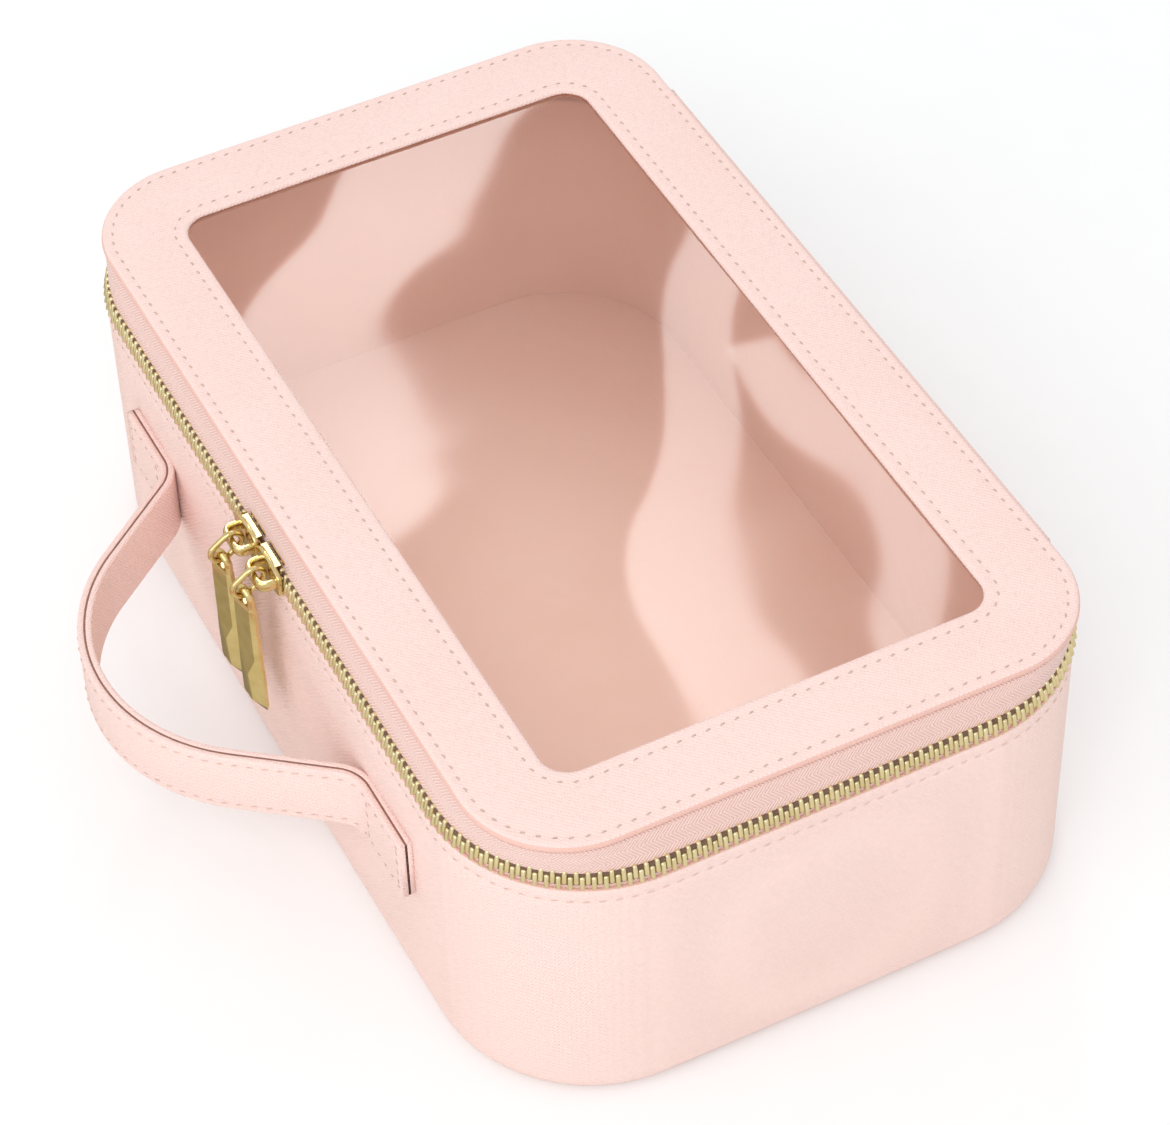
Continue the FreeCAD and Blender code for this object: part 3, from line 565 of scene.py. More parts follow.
lining_rings = [wall_ring(inset, LINING_TOP + rise) for inset, rise in LINING_TURN]
for step in range(LINING_LEVELS + 1):
    share = step / LINING_LEVELS
    level = LINING_TOP - LINING_START + (FLOOR_TOP - LINING_TOP + LINING_START) * share
    lining_rings.append(lining_ring(level, math.sin(math.pi * share) ** 0.5))
back_inset, turn_inset = LINING_INSET - LINING_SKIN, LINING_TURN[0][0] + LINING_SKIN
lining_rings += [wall_ring(inset, level) for inset, level in (
    (LINING_INSET, FLOOR_TOP - LINING_SKIN), (back_inset, FLOOR_TOP - LINING_SKIN), (back_inset, LINING_TOP),
    (turn_inset, LINING_TOP), (turn_inset, LINING_TOP + LINING_TURN[0][1]))]
wall_lining = loft("wall_lining_cloth", lining_rings, SATIN, through=True)
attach(wall_lining, "case")
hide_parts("wall_lining")

FLOOR_PUFF, PUFF_RATE = 0.8, 4
FLOOR_TUCK = 0.3
FLOOR_STEPS, FLOOR_RIM_STEP = 12, 0.1
floor_inset = LINING_INSET - FLOOR_TUCK
floor_rings = [wall_ring(floor_inset, FLOOR_TOP - LINING_SKIN)]
for step in (0, FLOOR_RIM_STEP, *range(1, FLOOR_STEPS)):
    share = step / FLOOR_STEPS
    puff = FLOOR_PUFF * math.sin(math.pi / 2 * min(1, PUFF_RATE * share))
    floor_rings.append(wall_ring(floor_inset + (BODY_HALF[1] - LINING_INSET - 1) * share, FLOOR_TOP + puff))
floor_cloth = loft("floor_lining_cloth", floor_rings, SATIN, caps=True)
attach(floor_cloth, "case")
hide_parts("floor_lining")


# Zip tapes: woven herringbone tape, sewn under the lid's edge and behind the body's upper edge. The
# body's tape ends behind the hinge strip and the lid's beside it.

TAPE_FACE = 1.0
TAPE_SKIN = 0.7
STRIP_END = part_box("hinge_strip")[1].x / MM
TAPE_END = STRIP_END - 5.0
BACK_SHARE = 0.8
TAPE_TONE = (0.93, 0.68, 0.62, 1)
TAPE_DARK = (0.80, 0.50, 0.44, 1)
CHEVRON_WIDTH = 2.6
CHEVRON_PITCH = 0.95
LID_TAPE_LOW, LID_TAPE_TOP = [corner.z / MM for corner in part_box("lid_zip_tape")]
BODY_TAPE_LOW, BODY_TAPE_TOP = [corner.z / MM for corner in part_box("body_zip_tape")]
LID_TAPE_TUCK = 0.5
TAPE_LEVELS = 10
HALVINGS = 24


def lid_distance(spot):
    """Distance of a point outside the lid's outline, less than nothing inside it."""
    over = np.abs(spot) - np.array(LID_HALF) + LID_CORNER
    return np.linalg.norm(np.maximum(over, 0)) + min(over.max(), 0) - LID_CORNER


def under_rim(level, depth):
    """The body's outline drawn in to the lid's rim along its own normals."""
    spots, normals = outline(TAPE_FACE, BODY_CORNER, BODY_HALF)[:2]
    reach = BODY_CORNER - TAPE_FACE
    drawn = []
    for spot, normal in zip(spots, normals):
        low, high = 0.0, 2 * reach
        for halving in range(HALVINGS):
            middle = (low + high) / 2
            if lid_distance(spot + normal * (middle - reach)) < -LID_TAPE_TUCK - depth:
                low = middle
            else:
                high = middle
        drawn.append([*(spot + normal * (low - reach)), level])
    return np.array(drawn)


def open_loops(loops, stop):
    """Loops cut open along the hinge, starting beside it."""
    last = loops[-1]
    keep = ~((last[:, 1] > BACK_SHARE * LID_HALF[1]) & (np.abs(last[:, 0]) < stop))
    first = next(n for n in range(len(last)) if keep[n] and not keep[n - 1])
    return [np.roll(points, -first, 0)[:keep.sum()] for points in loops]


def tape_loops(top, bottom):
    """Loops up the back of a tape and down its face, between its two edges."""
    shares = [step / TAPE_LEVELS for step in range(TAPE_LEVELS + 1)]
    face, behind = [[high + (low - high) * share for share in shares] for high, low in zip(top, bottom)]
    return behind[::-1] + face


def make_herringbone():
    """Ribs that run slantwise and turn back at even distances across the tape."""
    material, tree, shader = new_material("zip_tape", Roughness=0.75, Sheen_Weight=0.3)
    spread = node(tree, "ShaderNodeTexCoord").outputs["UV"]
    place = node(tree, "ShaderNodeSeparateXYZ", {0: spread}).outputs
    slant = maths(tree, "ADD", place["X"], maths(tree, "PINGPONG", place["Y"], CHEVRON_WIDTH * MM))
    rib = maths(tree, "SINE", maths(tree, "MULTIPLY", slant, 2 * math.pi / (CHEVRON_PITCH * MM)))
    share = node(tree, "ShaderNodeMapRange", {"Value": rib, "From Min": -1.0})
    tree.links.new(mix_colour(tree, share.outputs[0], TAPE_DARK, TAPE_TONE), shader["Base Color"])
    tree.links.new(bump(tree, 0.6, 0.0002, rib), shader["Normal"])
    return material


def tape_edge(level):
    """The face and the back of a tape at a level on the body's outline."""
    return [wall_ring(TAPE_FACE + depth, level) for depth in (0, TAPE_SKIN)]


HERRINGBONE = make_herringbone()
lid_edge = [under_rim(LID_TAPE_TOP, depth) for depth in (0, TAPE_SKIN)]
for name, node_name, body, top, bottom, stop in (
        ("lid_tape", "lid_zip_tape", "lid", lid_edge, tape_edge(LID_TAPE_LOW), STRIP_END),
        ("body_tape", "body_zip_tape", "case", tape_edge(BODY_TAPE_TOP), tape_edge(BODY_TAPE_LOW),
         TAPE_END)):
    tape = loft(name, open_loops(tape_loops(top, bottom), stop), HERRINGBONE, around=False, through=True)
    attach(tape, body)
    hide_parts(node_name)


# Zip teeth: stamped metal teeth clamped on the tape edges, rounded outside and waisted towards the
# tape, which gives the closed chain its fishbone look.

CHAIN_LEVEL = (LID_TAPE_LOW + BODY_TAPE_TOP) / 2
CHAIN_INSET = TAPE_FACE + TAPE_SKIN / 2
TOOTH_PITCH = 2.54
TOOTH_WIDTH, TOOTH_DEPTH = 1.22, 2.9
TOOTH_ROOT, TOOTH_TIP = 2.5, 1.0
TOOTH_WAIST, TOOTH_BEVEL = 0.85, 0.42
MOUTH_CLEAR = 5.0
CHAIN_END = STRIP_END + TOOTH_WIDTH
TOOTH_TILT = math.radians(14)
TOOTH_TONE = (0.74, 0.62, 0.34, 1)
TOOTH_PALE = (0.96, 0.88, 0.62, 1)
TOOTH_ROUGHNESS = 0.4
RUB_SCALE, RUB_LOW, RUB_HIGH = 260.0, 0.7, 1.4


def make_gold(name, roughness, tone, pale):
    """Light gold plating with darker and rougher, rubbed patches."""
    material, tree, shader = new_material(name, Metallic=1.0)
    cloud = noise(tree, RUB_SCALE, 3.0)["Fac"]
    tree.links.new(mix_colour(tree, cloud, tone, pale), shader["Base Color"])
    rough = node(tree, "ShaderNodeMapRange",
                 {"Value": cloud, "To Min": roughness * RUB_LOW, "To Max": roughness * RUB_HIGH})
    tree.links.new(rough.outputs[0], shader["Roughness"])
    return material


TOOTH_GOLD = make_gold("gold_teeth", TOOTH_ROUGHNESS, TOOTH_TONE, TOOTH_PALE)
CHAIN_TURN = BODY_CORNER - CHAIN_INSET
CHAIN_RUNS = [2 * (half - BODY_CORNER) for half in BODY_HALF]
QUARTER = CHAIN_TURN * math.pi / 2


def chain_spot(travel):
    """Place and heading of the chain at a distance along it from the middle of the front."""
    x, y = CHAIN_RUNS[0] / 2, CHAIN_RUNS[1] / 2
    along = abs(travel)
    if along < x:
        spot, turn = (along, -y - CHAIN_TURN), 0.0
    elif along < x + QUARTER:
        turn = (along - x) / CHAIN_TURN
        spot = (x + CHAIN_TURN * math.sin(turn), -y - CHAIN_TURN * math.cos(turn))
    elif along < x + QUARTER + 2 * y:
        spot, turn = (x + CHAIN_TURN, along - x - QUARTER - y), math.pi / 2
    elif along < x + 2 * QUARTER + 2 * y:
        turn = (along - x - 2 * y) / CHAIN_TURN
        spot = (x + CHAIN_TURN * math.sin(turn), y - CHAIN_TURN * math.cos(turn))
    else:
        spot, turn = (2 * x + 2 * QUARTER + 2 * y - along, y + CHAIN_TURN), math.pi
    side = math.copysign(1, travel)
    return np.array([side * spot[0], spot[1], CHAIN_LEVEL]), side * turn


def unpack(work):
    """Points and faces of a work mesh, which is freed."""
    work.verts.index_update()
    points = np.array([tuple(vert.co) for vert in work.verts])
    faces = [[vert.index for vert in face.verts] for face in work.faces]
    work.free()
    return points, faces


def make_tooth(up):
    """Points and faces of one tooth, standing on the chain's middle."""
    work = bmesh.new()
    bmesh.ops.create_cube(work, size=1)
    for vert in work.verts:
        vert.co.x *= TOOTH_WIDTH * (1.0 if vert.co.z > 0 else TOOTH_WAIST)
        vert.co.y *= TOOTH_DEPTH
        vert.co.z = TOOTH_TIP if vert.co.z > 0 else -TOOTH_ROOT
    bmesh.ops.bevel(work, geom=list(work.edges), offset=TOOTH_BEVEL, segments=2, profile=0.5,
                    affect="EDGES", material=-1)
    points, faces = unpack(work)
    return points * (1, 1, -1 if up else 1), faces


def add_teeth(name, node_name, body, up, phase, first, last):
    """Teeth at an even pitch between two distances from the middle of the front, on both hands."""
    tooth, pattern = make_tooth(up)
    points, faces = [], []
    for count in range(int(last / TOOTH_PITCH) + 1):
        for side in (-1, 1):
            travel = side * (count + phase) * TOOTH_PITCH
            if first <= abs(travel) < last:
                spot, turn = chain_spot(travel)
                spin = np.array(Matrix.Rotation(turn, 3, "Z") @ Matrix.Rotation(-TOOTH_TILT, 3, "X"))
                start = len(points)
                points.extend(tooth @ spin.T + spot)
                faces.extend([start + corner for corner in face] for face in pattern)
    row = add_piece(name, points, faces, TOOTH_GOLD)
    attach(row, body)
    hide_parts(node_name)


chain_length = CHAIN_RUNS[0] + 2 * QUARTER + CHAIN_RUNS[1] - CHAIN_END
front_half = CHAIN_RUNS[0] / 2
for owner, body, up, phase in (("body", "case", False, 0.25), ("lid", "lid", True, 0.75)):
    add_teeth(owner + "_front_teeth", owner + "_teeth_front", body, up, phase, MOUTH_CLEAR, front_half)
    add_teeth(owner + "_side_teeth", owner + "_teeth_sides", body, up, phase, front_half, chain_length)


# Tape beads: the thick woven edge of each tape, which the teeth grip. Their cloth is coloured near black as
# painted shade, and it shows as the dark gaps between the teeth.

BEAD_RADIUS, BEAD_SIDES = 0.75, 8
BEAD_RISE = 1.35
# Near-black tones: painted shade for the gaps between the teeth, not the tape's own pink.
BEAD_SHADE_TONE, BEAD_SHADE_DARK = (0.22, 0.13, 0.08, 1), (0.09, 0.05, 0.03, 1)
BEAD_SHADE_CLOTH = speckled("painted_shade_bead", 900.0, BEAD_SHADE_DARK, BEAD_SHADE_TONE, 3.0, Roughness=0.8)
for name, body, side in (("lid_tape_bead", "lid", 1), ("body_tape_bead", "case", -1)):
    loops = []
    for corner in range(BEAD_SIDES):
        turn = 2 * math.pi * corner / BEAD_SIDES
        loops.append(wall_ring(CHAIN_INSET + BEAD_RADIUS * math.cos(turn),
                               CHAIN_LEVEL + side * BEAD_RISE + BEAD_RADIUS * math.sin(turn)))
    bead = loft(name, open_loops(loops, STRIP_END), BEAD_SHADE_CLOTH, around=False, through=True)
    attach(bead, body)


# Hinge strip: leather sewn over the lid's back edge and the back wall, with cloth inside.

STRIP_LOW, STRIP_HIGH = [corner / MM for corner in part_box("hinge_strip")]
STRIP_SKIN, STRIP_CLEAR, STRIP_ARCH, STRIP_SOFT = 1.2, 0.02, 0.5, 0.35
BEND_LOW, BEND_HIGH = WALL_TOP + 1, LID_BOTTOM - 1
BACK_WALL, BACK_RIM = BODY_HALF[1], LID_HALF[1]
STRIP_STEPS, STRIP_COLUMNS = 36, 48


def strip_face(level, lift):
    """How far back the strip's face lies at a level."""
    share = min(1, max(0, (level - BEND_LOW) / (BEND_HIGH - BEND_LOW)))
    return BACK_WALL + (BACK_RIM - BACK_WALL) * share + lift + STRIP_ARCH * math.sin(math.pi * share)


def make_strip(name, material, low, high, half_length, near, far):
    """A closed strip along X with many levels."""
    levels = [low + (high - low) * step / STRIP_STEPS for step in range(STRIP_STEPS + 1)]
    section = [(far(level) - (STRIP_SOFT if level in (low, high) else 0), level) for level in levels]
    section += [(near(level), level) for level in levels[::-1]]
    across = [-half_length + 2 * half_length * step / STRIP_COLUMNS for step in range(STRIP_COLUMNS + 1)]
    return loft(name, [[(x, y, z) for y, z in section] for x in across], material, caps=True)


hinge_leather = make_strip("hinge_leather", LEATHER, STRIP_LOW.z, STRIP_HIGH.z, STRIP_HIGH.x,
                           lambda level: strip_face(level, STRIP_CLEAR),
                           lambda level: strip_face(level, STRIP_SKIN))
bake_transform(hinge_leather)
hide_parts("hinge_strip")

STRIP_SEAM = 2.2
seam_face = strip_face(STRIP_LOW.z, STRIP_SKIN)
seam_x, seam_low, seam_high = STRIP_HIGH.x - STRIP_SEAM, STRIP_LOW.z + STRIP_SEAM, BEND_LOW - 1
stitch_row("hinge_stitches", [
    ([(-seam_x, seam_face, seam_high), (-seam_x, seam_face, seam_low), (seam_x, seam_face, seam_low),
      (seam_x, seam_face, seam_high)], False)], lambda spot: (0, 1, 0), "case", PALE_THREAD)

HINGE_LINING_LOW, HINGE_LINING_HIGH = [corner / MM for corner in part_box("hinge_lining")]
hinge_cloth = make_strip("hinge_cloth", SATIN, HINGE_LINING_LOW.z, HINGE_LINING_HIGH.z, HINGE_LINING_HIGH.x,
                         lambda level: HINGE_LINING_LOW.y, lambda level: HINGE_LINING_HIGH.y)
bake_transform(hinge_cloth)
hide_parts("hinge_lining")


# Handle: two leather layers bonded back to back and stitched along both edges. The flat roots are
# sewn to the front wall, and the cut edges show the dark bond between the layers.

STRAP_LOW, STRAP_HIGH = [corner.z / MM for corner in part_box("handle_inner_strap")]
STRAP_SKIN, STRAP_GAP, STRAP_SOFT = 1.8, 0.05, 0.6
STRAP_STEPS, BOW_STEPS, SOFT_STEPS = 12, 20, 3
HANDLE_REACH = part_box("handle_inner_strap")[1].x / MM
ROOT_LENGTH, ROOT_RADIUS = 20.0, 12.0
BOW, BOW_RADIUS = 42.0, 44.0
EDGE_TONE = (0.16, 0.07, 0.05, 1)
root_start = HANDLE_REACH - ROOT_LENGTH
both_bends = ROOT_RADIUS + BOW_RADIUS
straight = math.sqrt(root_start ** 2 + (both_bends - BOW) ** 2 - both_bends ** 2)
SLOPE = math.atan2(root_start, both_bends - BOW) - math.atan2(straight, both_bends)


def strap_line(offset):
    """Right to left along the strap at a distance from its wall side: places and outward directions."""
    inner, outer = ROOT_RADIUS - offset, BOW_RADIUS + offset

    def bow_spot(turn):
        return outer * math.sin(turn), BOW - BOW_RADIUS + outer * math.cos(turn)

    half = [((HANDLE_REACH - ROOT_LENGTH * step / STRAP_STEPS, offset), 0.0)
            for step in range(STRAP_STEPS + 1)]
    for step in range(1, STRAP_STEPS + 1):
        turn = SLOPE * step / STRAP_STEPS
        half.append(((root_start - inner * math.sin(turn), ROOT_RADIUS - inner * math.cos(turn)), turn))
    last = half[-1][0]
    for step in range(1, STRAP_STEPS + 1):
        half.append((tuple(a + (b - a) * step / STRAP_STEPS for a, b in zip(last, bow_spot(SLOPE))), SLOPE))
    for step in range(1, BOW_STEPS + 1):
        turn = SLOPE * (1 - step / BOW_STEPS)
        half.append((bow_spot(turn), turn))
    line = half + [((-x, out), -turn) for (x, out), turn in half[-2::-1]]
    places = [np.array((x, -BODY_HALF[1] - out, 0)) for (x, out), turn in line]
    outward = [np.array((math.sin(turn), -math.cos(turn), 0)) for (x, out), turn in line]
    return places, outward


def strap_layer(name, material, near, far, low, high, soft):
    """One layer between two distances from the wall side, its long edges rounded."""
    middle = (near + far) / 2
    places, outward = strap_line(middle)
    thick = (far - near) / 2
    section = []
    for across, level, turn in ((thick, high, 90), (-thick, high, 180), (-thick, low, 270), (thick, low, 0)):
        for step in range(SOFT_STEPS + 1):
            angle = math.radians(turn - 90 + 90 / SOFT_STEPS * step)
            section.append((across - math.copysign(soft, across) + soft * math.cos(angle),
                            level - math.copysign(soft, level - (low + high) / 2) + soft * math.sin(angle)))
    rings = [[place + out * across + np.array((0, 0, level)) for across, level in section]
             for place, out in zip(places, outward)]
    return loft(name, rings, material, caps=True)


for name, near, far in (("handle_inner_strap", 0.0, STRAP_SKIN),
                        ("handle_outer_strap", STRAP_SKIN, 2 * STRAP_SKIN)):
    strap = strap_layer(name.replace("strap", "leather"), LEATHER, near + STRAP_GAP, far - STRAP_GAP,
                        STRAP_LOW, STRAP_HIGH, STRAP_SOFT)
    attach(strap, "case")
    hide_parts(name)

BOND_HALF, BOND_SINK, BOND_SOFT = 0.28, 0.15, 0.1
BOND_PALE = 2.2
BOND = speckled("dark_bond", 500.0, EDGE_TONE, shaded(EDGE_TONE, BOND_PALE), Roughness=0.6)
handle_bond = strap_layer("handle_bond", BOND, STRAP_SKIN - BOND_HALF, STRAP_SKIN + BOND_HALF,
                          STRAP_LOW + BOND_SINK, STRAP_HIGH - BOND_SINK, BOND_SOFT)
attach(handle_bond, "case")

STRAP_SEAM, STRAP_SINK = 2.0, 0.02
strap_places, strap_out = strap_line(2 * STRAP_SKIN - STRAP_SINK)
face_line = np.array(strap_places)


def strap_facing(spot):
    """Outward direction of the strap at the place nearest to a point."""
    return strap_out[int(np.argmin(np.linalg.norm(face_line[:, :2] - spot[:2], axis=1)))]


seam_levels = (STRAP_LOW + STRAP_SEAM, STRAP_HIGH - STRAP_SEAM)
strap_rows = [(face_line + (0, 0, level), False) for level in seam_levels]
for x in (HANDLE_REACH - STRAP_SEAM, root_start + STRAP_SEAM):
    for side in (-1, 1):
        y = -BODY_HALF[1] - 2 * STRAP_SKIN
        strap_rows.append(([(side * x, y, level) for level in seam_levels], False))
stitch_row("handle_stitches", strap_rows, strap_facing, "case", PALE_THREAD)


# Zip sliders: cast and gold-plated. Two shield-shaped plates with turned-in flanges are joined by a
# wedge post at the mouth, and an arched bridge over the outer plate carries the pull ring.

GOLD_TONE = (0.60, 0.45, 0.16, 1)
GOLD_PALE = (0.84, 0.70, 0.38, 1)
POLISHED = make_gold("gold_plating", 0.16, GOLD_TONE, GOLD_PALE)
SLIDER_GAP, SLIDER_LENGTH, SLIDER_WIDTH, SLIDER_PLATE = 0.2, 12.6, 9.0, 1.2
PLATE_OUT = -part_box("slider_right")[0].y / MM
BRIDGE_OUT = PLATE_OUT - 1.2
CHAIN_ROOM = 1.55
OUTER_PLATE = BODY_HALF[1] - CHAIN_INSET + CHAIN_ROOM
INNER_PLATE = BODY_HALF[1] - CHAIN_INSET - CHAIN_ROOM - SLIDER_PLATE
SHIELD = [(0.0, 0.55), (0.7, 0.8), (2.2, 0.98), (5.0, 1.0), (8.5, 0.9), (11.6, 0.74), (12.4, 0.6),
          (SLIDER_LENGTH, 0.4)]
BAR_RADIUS, BAR_HALF_WIDTH = 0.9, 1.6
LEG_INSET, ARCH_RADIUS = 2.0, 2.2
POST_NEAR, POST_FAR, POST_HALF, POST_SINK = 1.2, 4.2, 1.3, 0.1
FLANGE, FLANGE_LAP, FLANGE_SINK = 1.0, 1.15, 0.3
FLANGE_NEAR, FLANGE_SHORT = 1.0, 3.2
FLANGE_EDGE = SLIDER_WIDTH * 0.44
PLATE_BEVEL = 0.35
SMOOTH_ANGLE = math.radians(32)
TUBE_SIDES = 14


def tube(line, radius, closed=False, width=None):
    """Points and faces of a round or flattened wire along a line of points."""
    line = np.array(line, float)
    count = len(line)
    points = []
    before = np.roll(line, 1, 0) if closed else np.vstack([line[:1], line[:-1]])
    after = np.roll(line, -1, 0) if closed else np.vstack([line[1:], line[-1:]])
    heading = after - before
    heading /= np.linalg.norm(heading, axis=1)[:, None]
    flat = np.linalg.svd(line - line.mean(0))[2][2]
    for spot, ahead in zip(line, heading):
        side = np.cross(ahead, flat)
        for corner in range(TUBE_SIDES):
            angle = 2 * math.pi * corner / TUBE_SIDES
            points.append(spot + side * radius * math.cos(angle)
                          + flat * (width or radius) * math.sin(angle))
    faces = quads(count, TUBE_SIDES, through=closed)
    return points, faces if closed else faces + end_caps(count, TUBE_SIDES)


def plate_solid(near, side):
    """One slider plate: a shield outline with rounded rims."""
    work = bmesh.new()
    far = near + SLIDER_PLATE
    right = [(x, SLIDER_WIDTH / 2 * share) for x, share in SHIELD]
    loop = right + [(x, -half) for x, half in right[::-1]]
    verts = [work.verts.new((side * (SLIDER_GAP + x), -near, CHAIN_LEVEL + z)) for x, z in loop]
    face = work.faces.new(verts)
    pushed = bmesh.ops.extrude_face_region(work, geom=[face])
    moved = [item for item in pushed["geom"] if isinstance(item, bmesh.types.BMVert)]
    bmesh.ops.translate(work, verts=moved, vec=(0, near - far, 0))
    rims = [edge for edge in work.edges if abs(edge.verts[0].co.y - edge.verts[1].co.y) < 1e-6]
    bmesh.ops.bevel(work, geom=rims, offset=PLATE_BEVEL, segments=3, profile=0.5, affect="EDGES",
                    material=-1)
    return unpack(work)


def box_solid(low, high):
    """Points and faces of a box between two corners."""
    points = [(x, y, z) for x in (low[0], high[0]) for y in (low[1], high[1]) for z in (low[2], high[2])]
    return points, [(0, 1, 3, 2), (4, 6, 7, 5), (0, 4, 5, 1), (2, 3, 7, 6), (0, 2, 6, 4), (1, 5, 7, 3)]


def bend_line(corners, radius, steps=6):
    """A line through corner points with its corners rounded."""
    corners = [np.array(corner, float) for corner in corners]
    line = [corners[0]]
    for before, corner, after in zip(corners, corners[1:], corners[2:]):
        back = (before - corner) / np.linalg.norm(before - corner)
        ahead = (after - corner) / np.linalg.norm(after - corner)
        for step in range(steps + 1):
            share = step / steps
            line.append(corner + back * radius * (1 - share) ** 2 + ahead * radius * share ** 2)
    return line + [corners[-1]]


def join_solids(name, solids):
    """One piece of polished metal from several closed shapes, sharp where they bend sharply."""
    points, faces = [], []
    for some_points, some_faces in solids:
        start = len(points)
        points.extend(some_points)
        faces.extend([start + corner for corner in face] for face in some_faces)
    piece = add_piece(name, points, faces, POLISHED)
    piece.data.set_sharp_from_angle(angle=SMOOTH_ANGLE)
    return piece


SLIDER_MIDDLE = SLIDER_GAP + SLIDER_LENGTH / 2
for hand, side in (("left", -1), ("right", 1)):
    post = sorted((side * (SLIDER_GAP + POST_NEAR), side * (SLIDER_GAP + POST_FAR)))
    legs = [side * (SLIDER_GAP + LEG_INSET), side * (SLIDER_GAP + SLIDER_LENGTH - LEG_INSET)]
    arch = bend_line([(legs[leg], -out, CHAIN_LEVEL) for leg, out in (
        (0, OUTER_PLATE), (0, BRIDGE_OUT), (1, BRIDGE_OUT), (1, OUTER_PLATE))], ARCH_RADIUS)
    ends = sorted((side * (SLIDER_GAP + FLANGE_NEAR), side * (SLIDER_GAP + SLIDER_LENGTH - FLANGE_SHORT)))
    inner_face = -INNER_PLATE - SLIDER_PLATE
    flanges = []
    for edge in (-1, 1):
        levels = sorted((CHAIN_LEVEL + edge * FLANGE_EDGE, CHAIN_LEVEL + edge * (FLANGE_EDGE - FLANGE)))
        for near, far in ((-OUTER_PLATE - FLANGE_SINK, -OUTER_PLATE + FLANGE_LAP),
                          (inner_face - FLANGE_LAP, inner_face + FLANGE_SINK)):
            flanges.append(box_solid((ends[0], near, levels[0]), (ends[1], far, levels[1])))
    slider = join_solids("slider_metal_" + hand, [
        plate_solid(OUTER_PLATE, side), plate_solid(INNER_PLATE, side),
        box_solid((post[0], -OUTER_PLATE - POST_SINK, CHAIN_LEVEL - POST_HALF),
                  (post[1], inner_face + POST_SINK, CHAIN_LEVEL + POST_HALF)),
        tube(arch, BAR_RADIUS, width=BAR_HALF_WIDTH)] + flanges)
    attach(slider, "slider_" + hand)
    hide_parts("slider_" + hand)


# Pull rings: long closed loops of round gold wire. Each runs through its slider's bridge and leans
# out and down from it, with the tab's eye hung in its far bend.

WIRE_RADIUS = 0.75
RING_BEND, RING_STRAIGHT = 2.6, 3.5
RING_DROOP = math.radians(35)
RING_STEPS = 18

lean = np.array((0, -math.cos(RING_DROOP), -math.sin(RING_DROOP)))
rise = np.array((0, -math.sin(RING_DROOP), math.cos(RING_DROOP)))
for hand, side in (("left", -1), ("right", 1)):
    start = np.array((side * SLIDER_MIDDLE, -BRIDGE_OUT, CHAIN_LEVEL))
    line = []
    for far, turn in ((RING_STRAIGHT, -90), (0.0, 90)):
        for step in range(RING_STEPS + 1):
            angle = math.radians(turn + 180 * step / RING_STEPS)
            line.append(start + lean * (far + RING_BEND * math.cos(angle))
                        + rise * RING_BEND * math.sin(angle))
    wire = join_solids("ring_metal_" + hand, [tube(line, WIRE_RADIUS, closed=True)])
    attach(wire, "ring_" + hand)
    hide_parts("pull_ring_" + hand)


# Pull tabs: solid gold bars, each hung from its ring by a wire eye. They are slim at the neck, flare
# towards the foot and are cut there to long diamond facets.

TAB_LOW, TAB_HIGH = [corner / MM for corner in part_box("pull_tab_right")]
TAB_OUT = -(TAB_LOW.y + TAB_HIGH.y) / 2
EYE_RADIUS, EYE_WIRE, EYE_RISE, EYE_STEPS = 2.5, 1.0, 0.15, 16
EYE_FOOT = TAB_HIGH.z - 6.2
EYE_LEVEL = TAB_HIGH.z - EYE_RADIUS - EYE_WIRE + EYE_RISE
TAB_TURN = math.radians(14)
FACET_ANGLE = math.radians(12)
TAB_SIDES = 8
# Each row: level, half width, width of the cut, half thickness, and half thickness at the rim.
SHANK = [(TAB_HIGH.z - 5.0, 3.3, 0.5, 0.8, 0.45), (TAB_HIGH.z - 6.0, 3.8, 1.0, 1.15, 0.5),
         (TAB_HIGH.z - 9, 3.9, 1.1, 1.25, 0.5), (TAB_HIGH.z - 23, 4.1, 1.2, 1.3, 0.5),
         (TAB_HIGH.z - 29, 4.6, 4.3, 1.9, 0.35), (TAB_LOW.z + 1.2, 4.5, 4.2, 1.3, 0.3),
         (TAB_LOW.z, 4.2, 3.8, 0.5, 0.15)]

for hand, side in (("left", -1), ("right", 1)):
    across = side * SLIDER_MIDDLE
    points = []
    for level, half, cut, thick, rim in SHANK:
        section = [(-half, rim), (-(half - cut), thick), (half - cut, thick), (half, rim),
                   (half, -rim), (half - cut, -thick), (-(half - cut), -thick), (-half, -rim)]
        points += [(across + x, -TAB_OUT - y, level) for x, y in section]
    faces = quads(len(SHANK), TAB_SIDES) + end_caps(len(SHANK), TAB_SIDES)
    loop = [(across - EYE_RADIUS, -TAB_OUT, EYE_FOOT)]
    for step in range(EYE_STEPS + 1):
        angle = math.pi * (1 - step / EYE_STEPS)
        loop.append((across + EYE_RADIUS * math.cos(angle), -TAB_OUT,
                     EYE_LEVEL + EYE_RADIUS * math.sin(angle)))
    loop.append((across + EYE_RADIUS, -TAB_OUT, EYE_FOOT))
    middle = np.array((across, -TAB_OUT, 0))
    turn = np.array(Matrix.Rotation(TAB_TURN, 3, "Z"))
    tab = join_solids("tab_metal_" + hand, [((np.array(spots) - middle) @ turn.T + middle, sides)
                                            for spots, sides in ((points, faces), tube(loop, EYE_WIRE))])
    tab.data.set_sharp_from_angle(angle=FACET_ANGLE)
    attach(tab, "tab_" + hand)
    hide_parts("pull_tab_" + hand)


# Studio: a white floor under soft light, as in the photograph. Bright strips beyond the case give the
# window its bands of light, and a faint lamp under the lid lights the inside.

FLOOR_SIZE = 6.0
FLOOR_TONE, FLOOR_PALE = (0.915, 0.926, 0.931, 1), 1.02


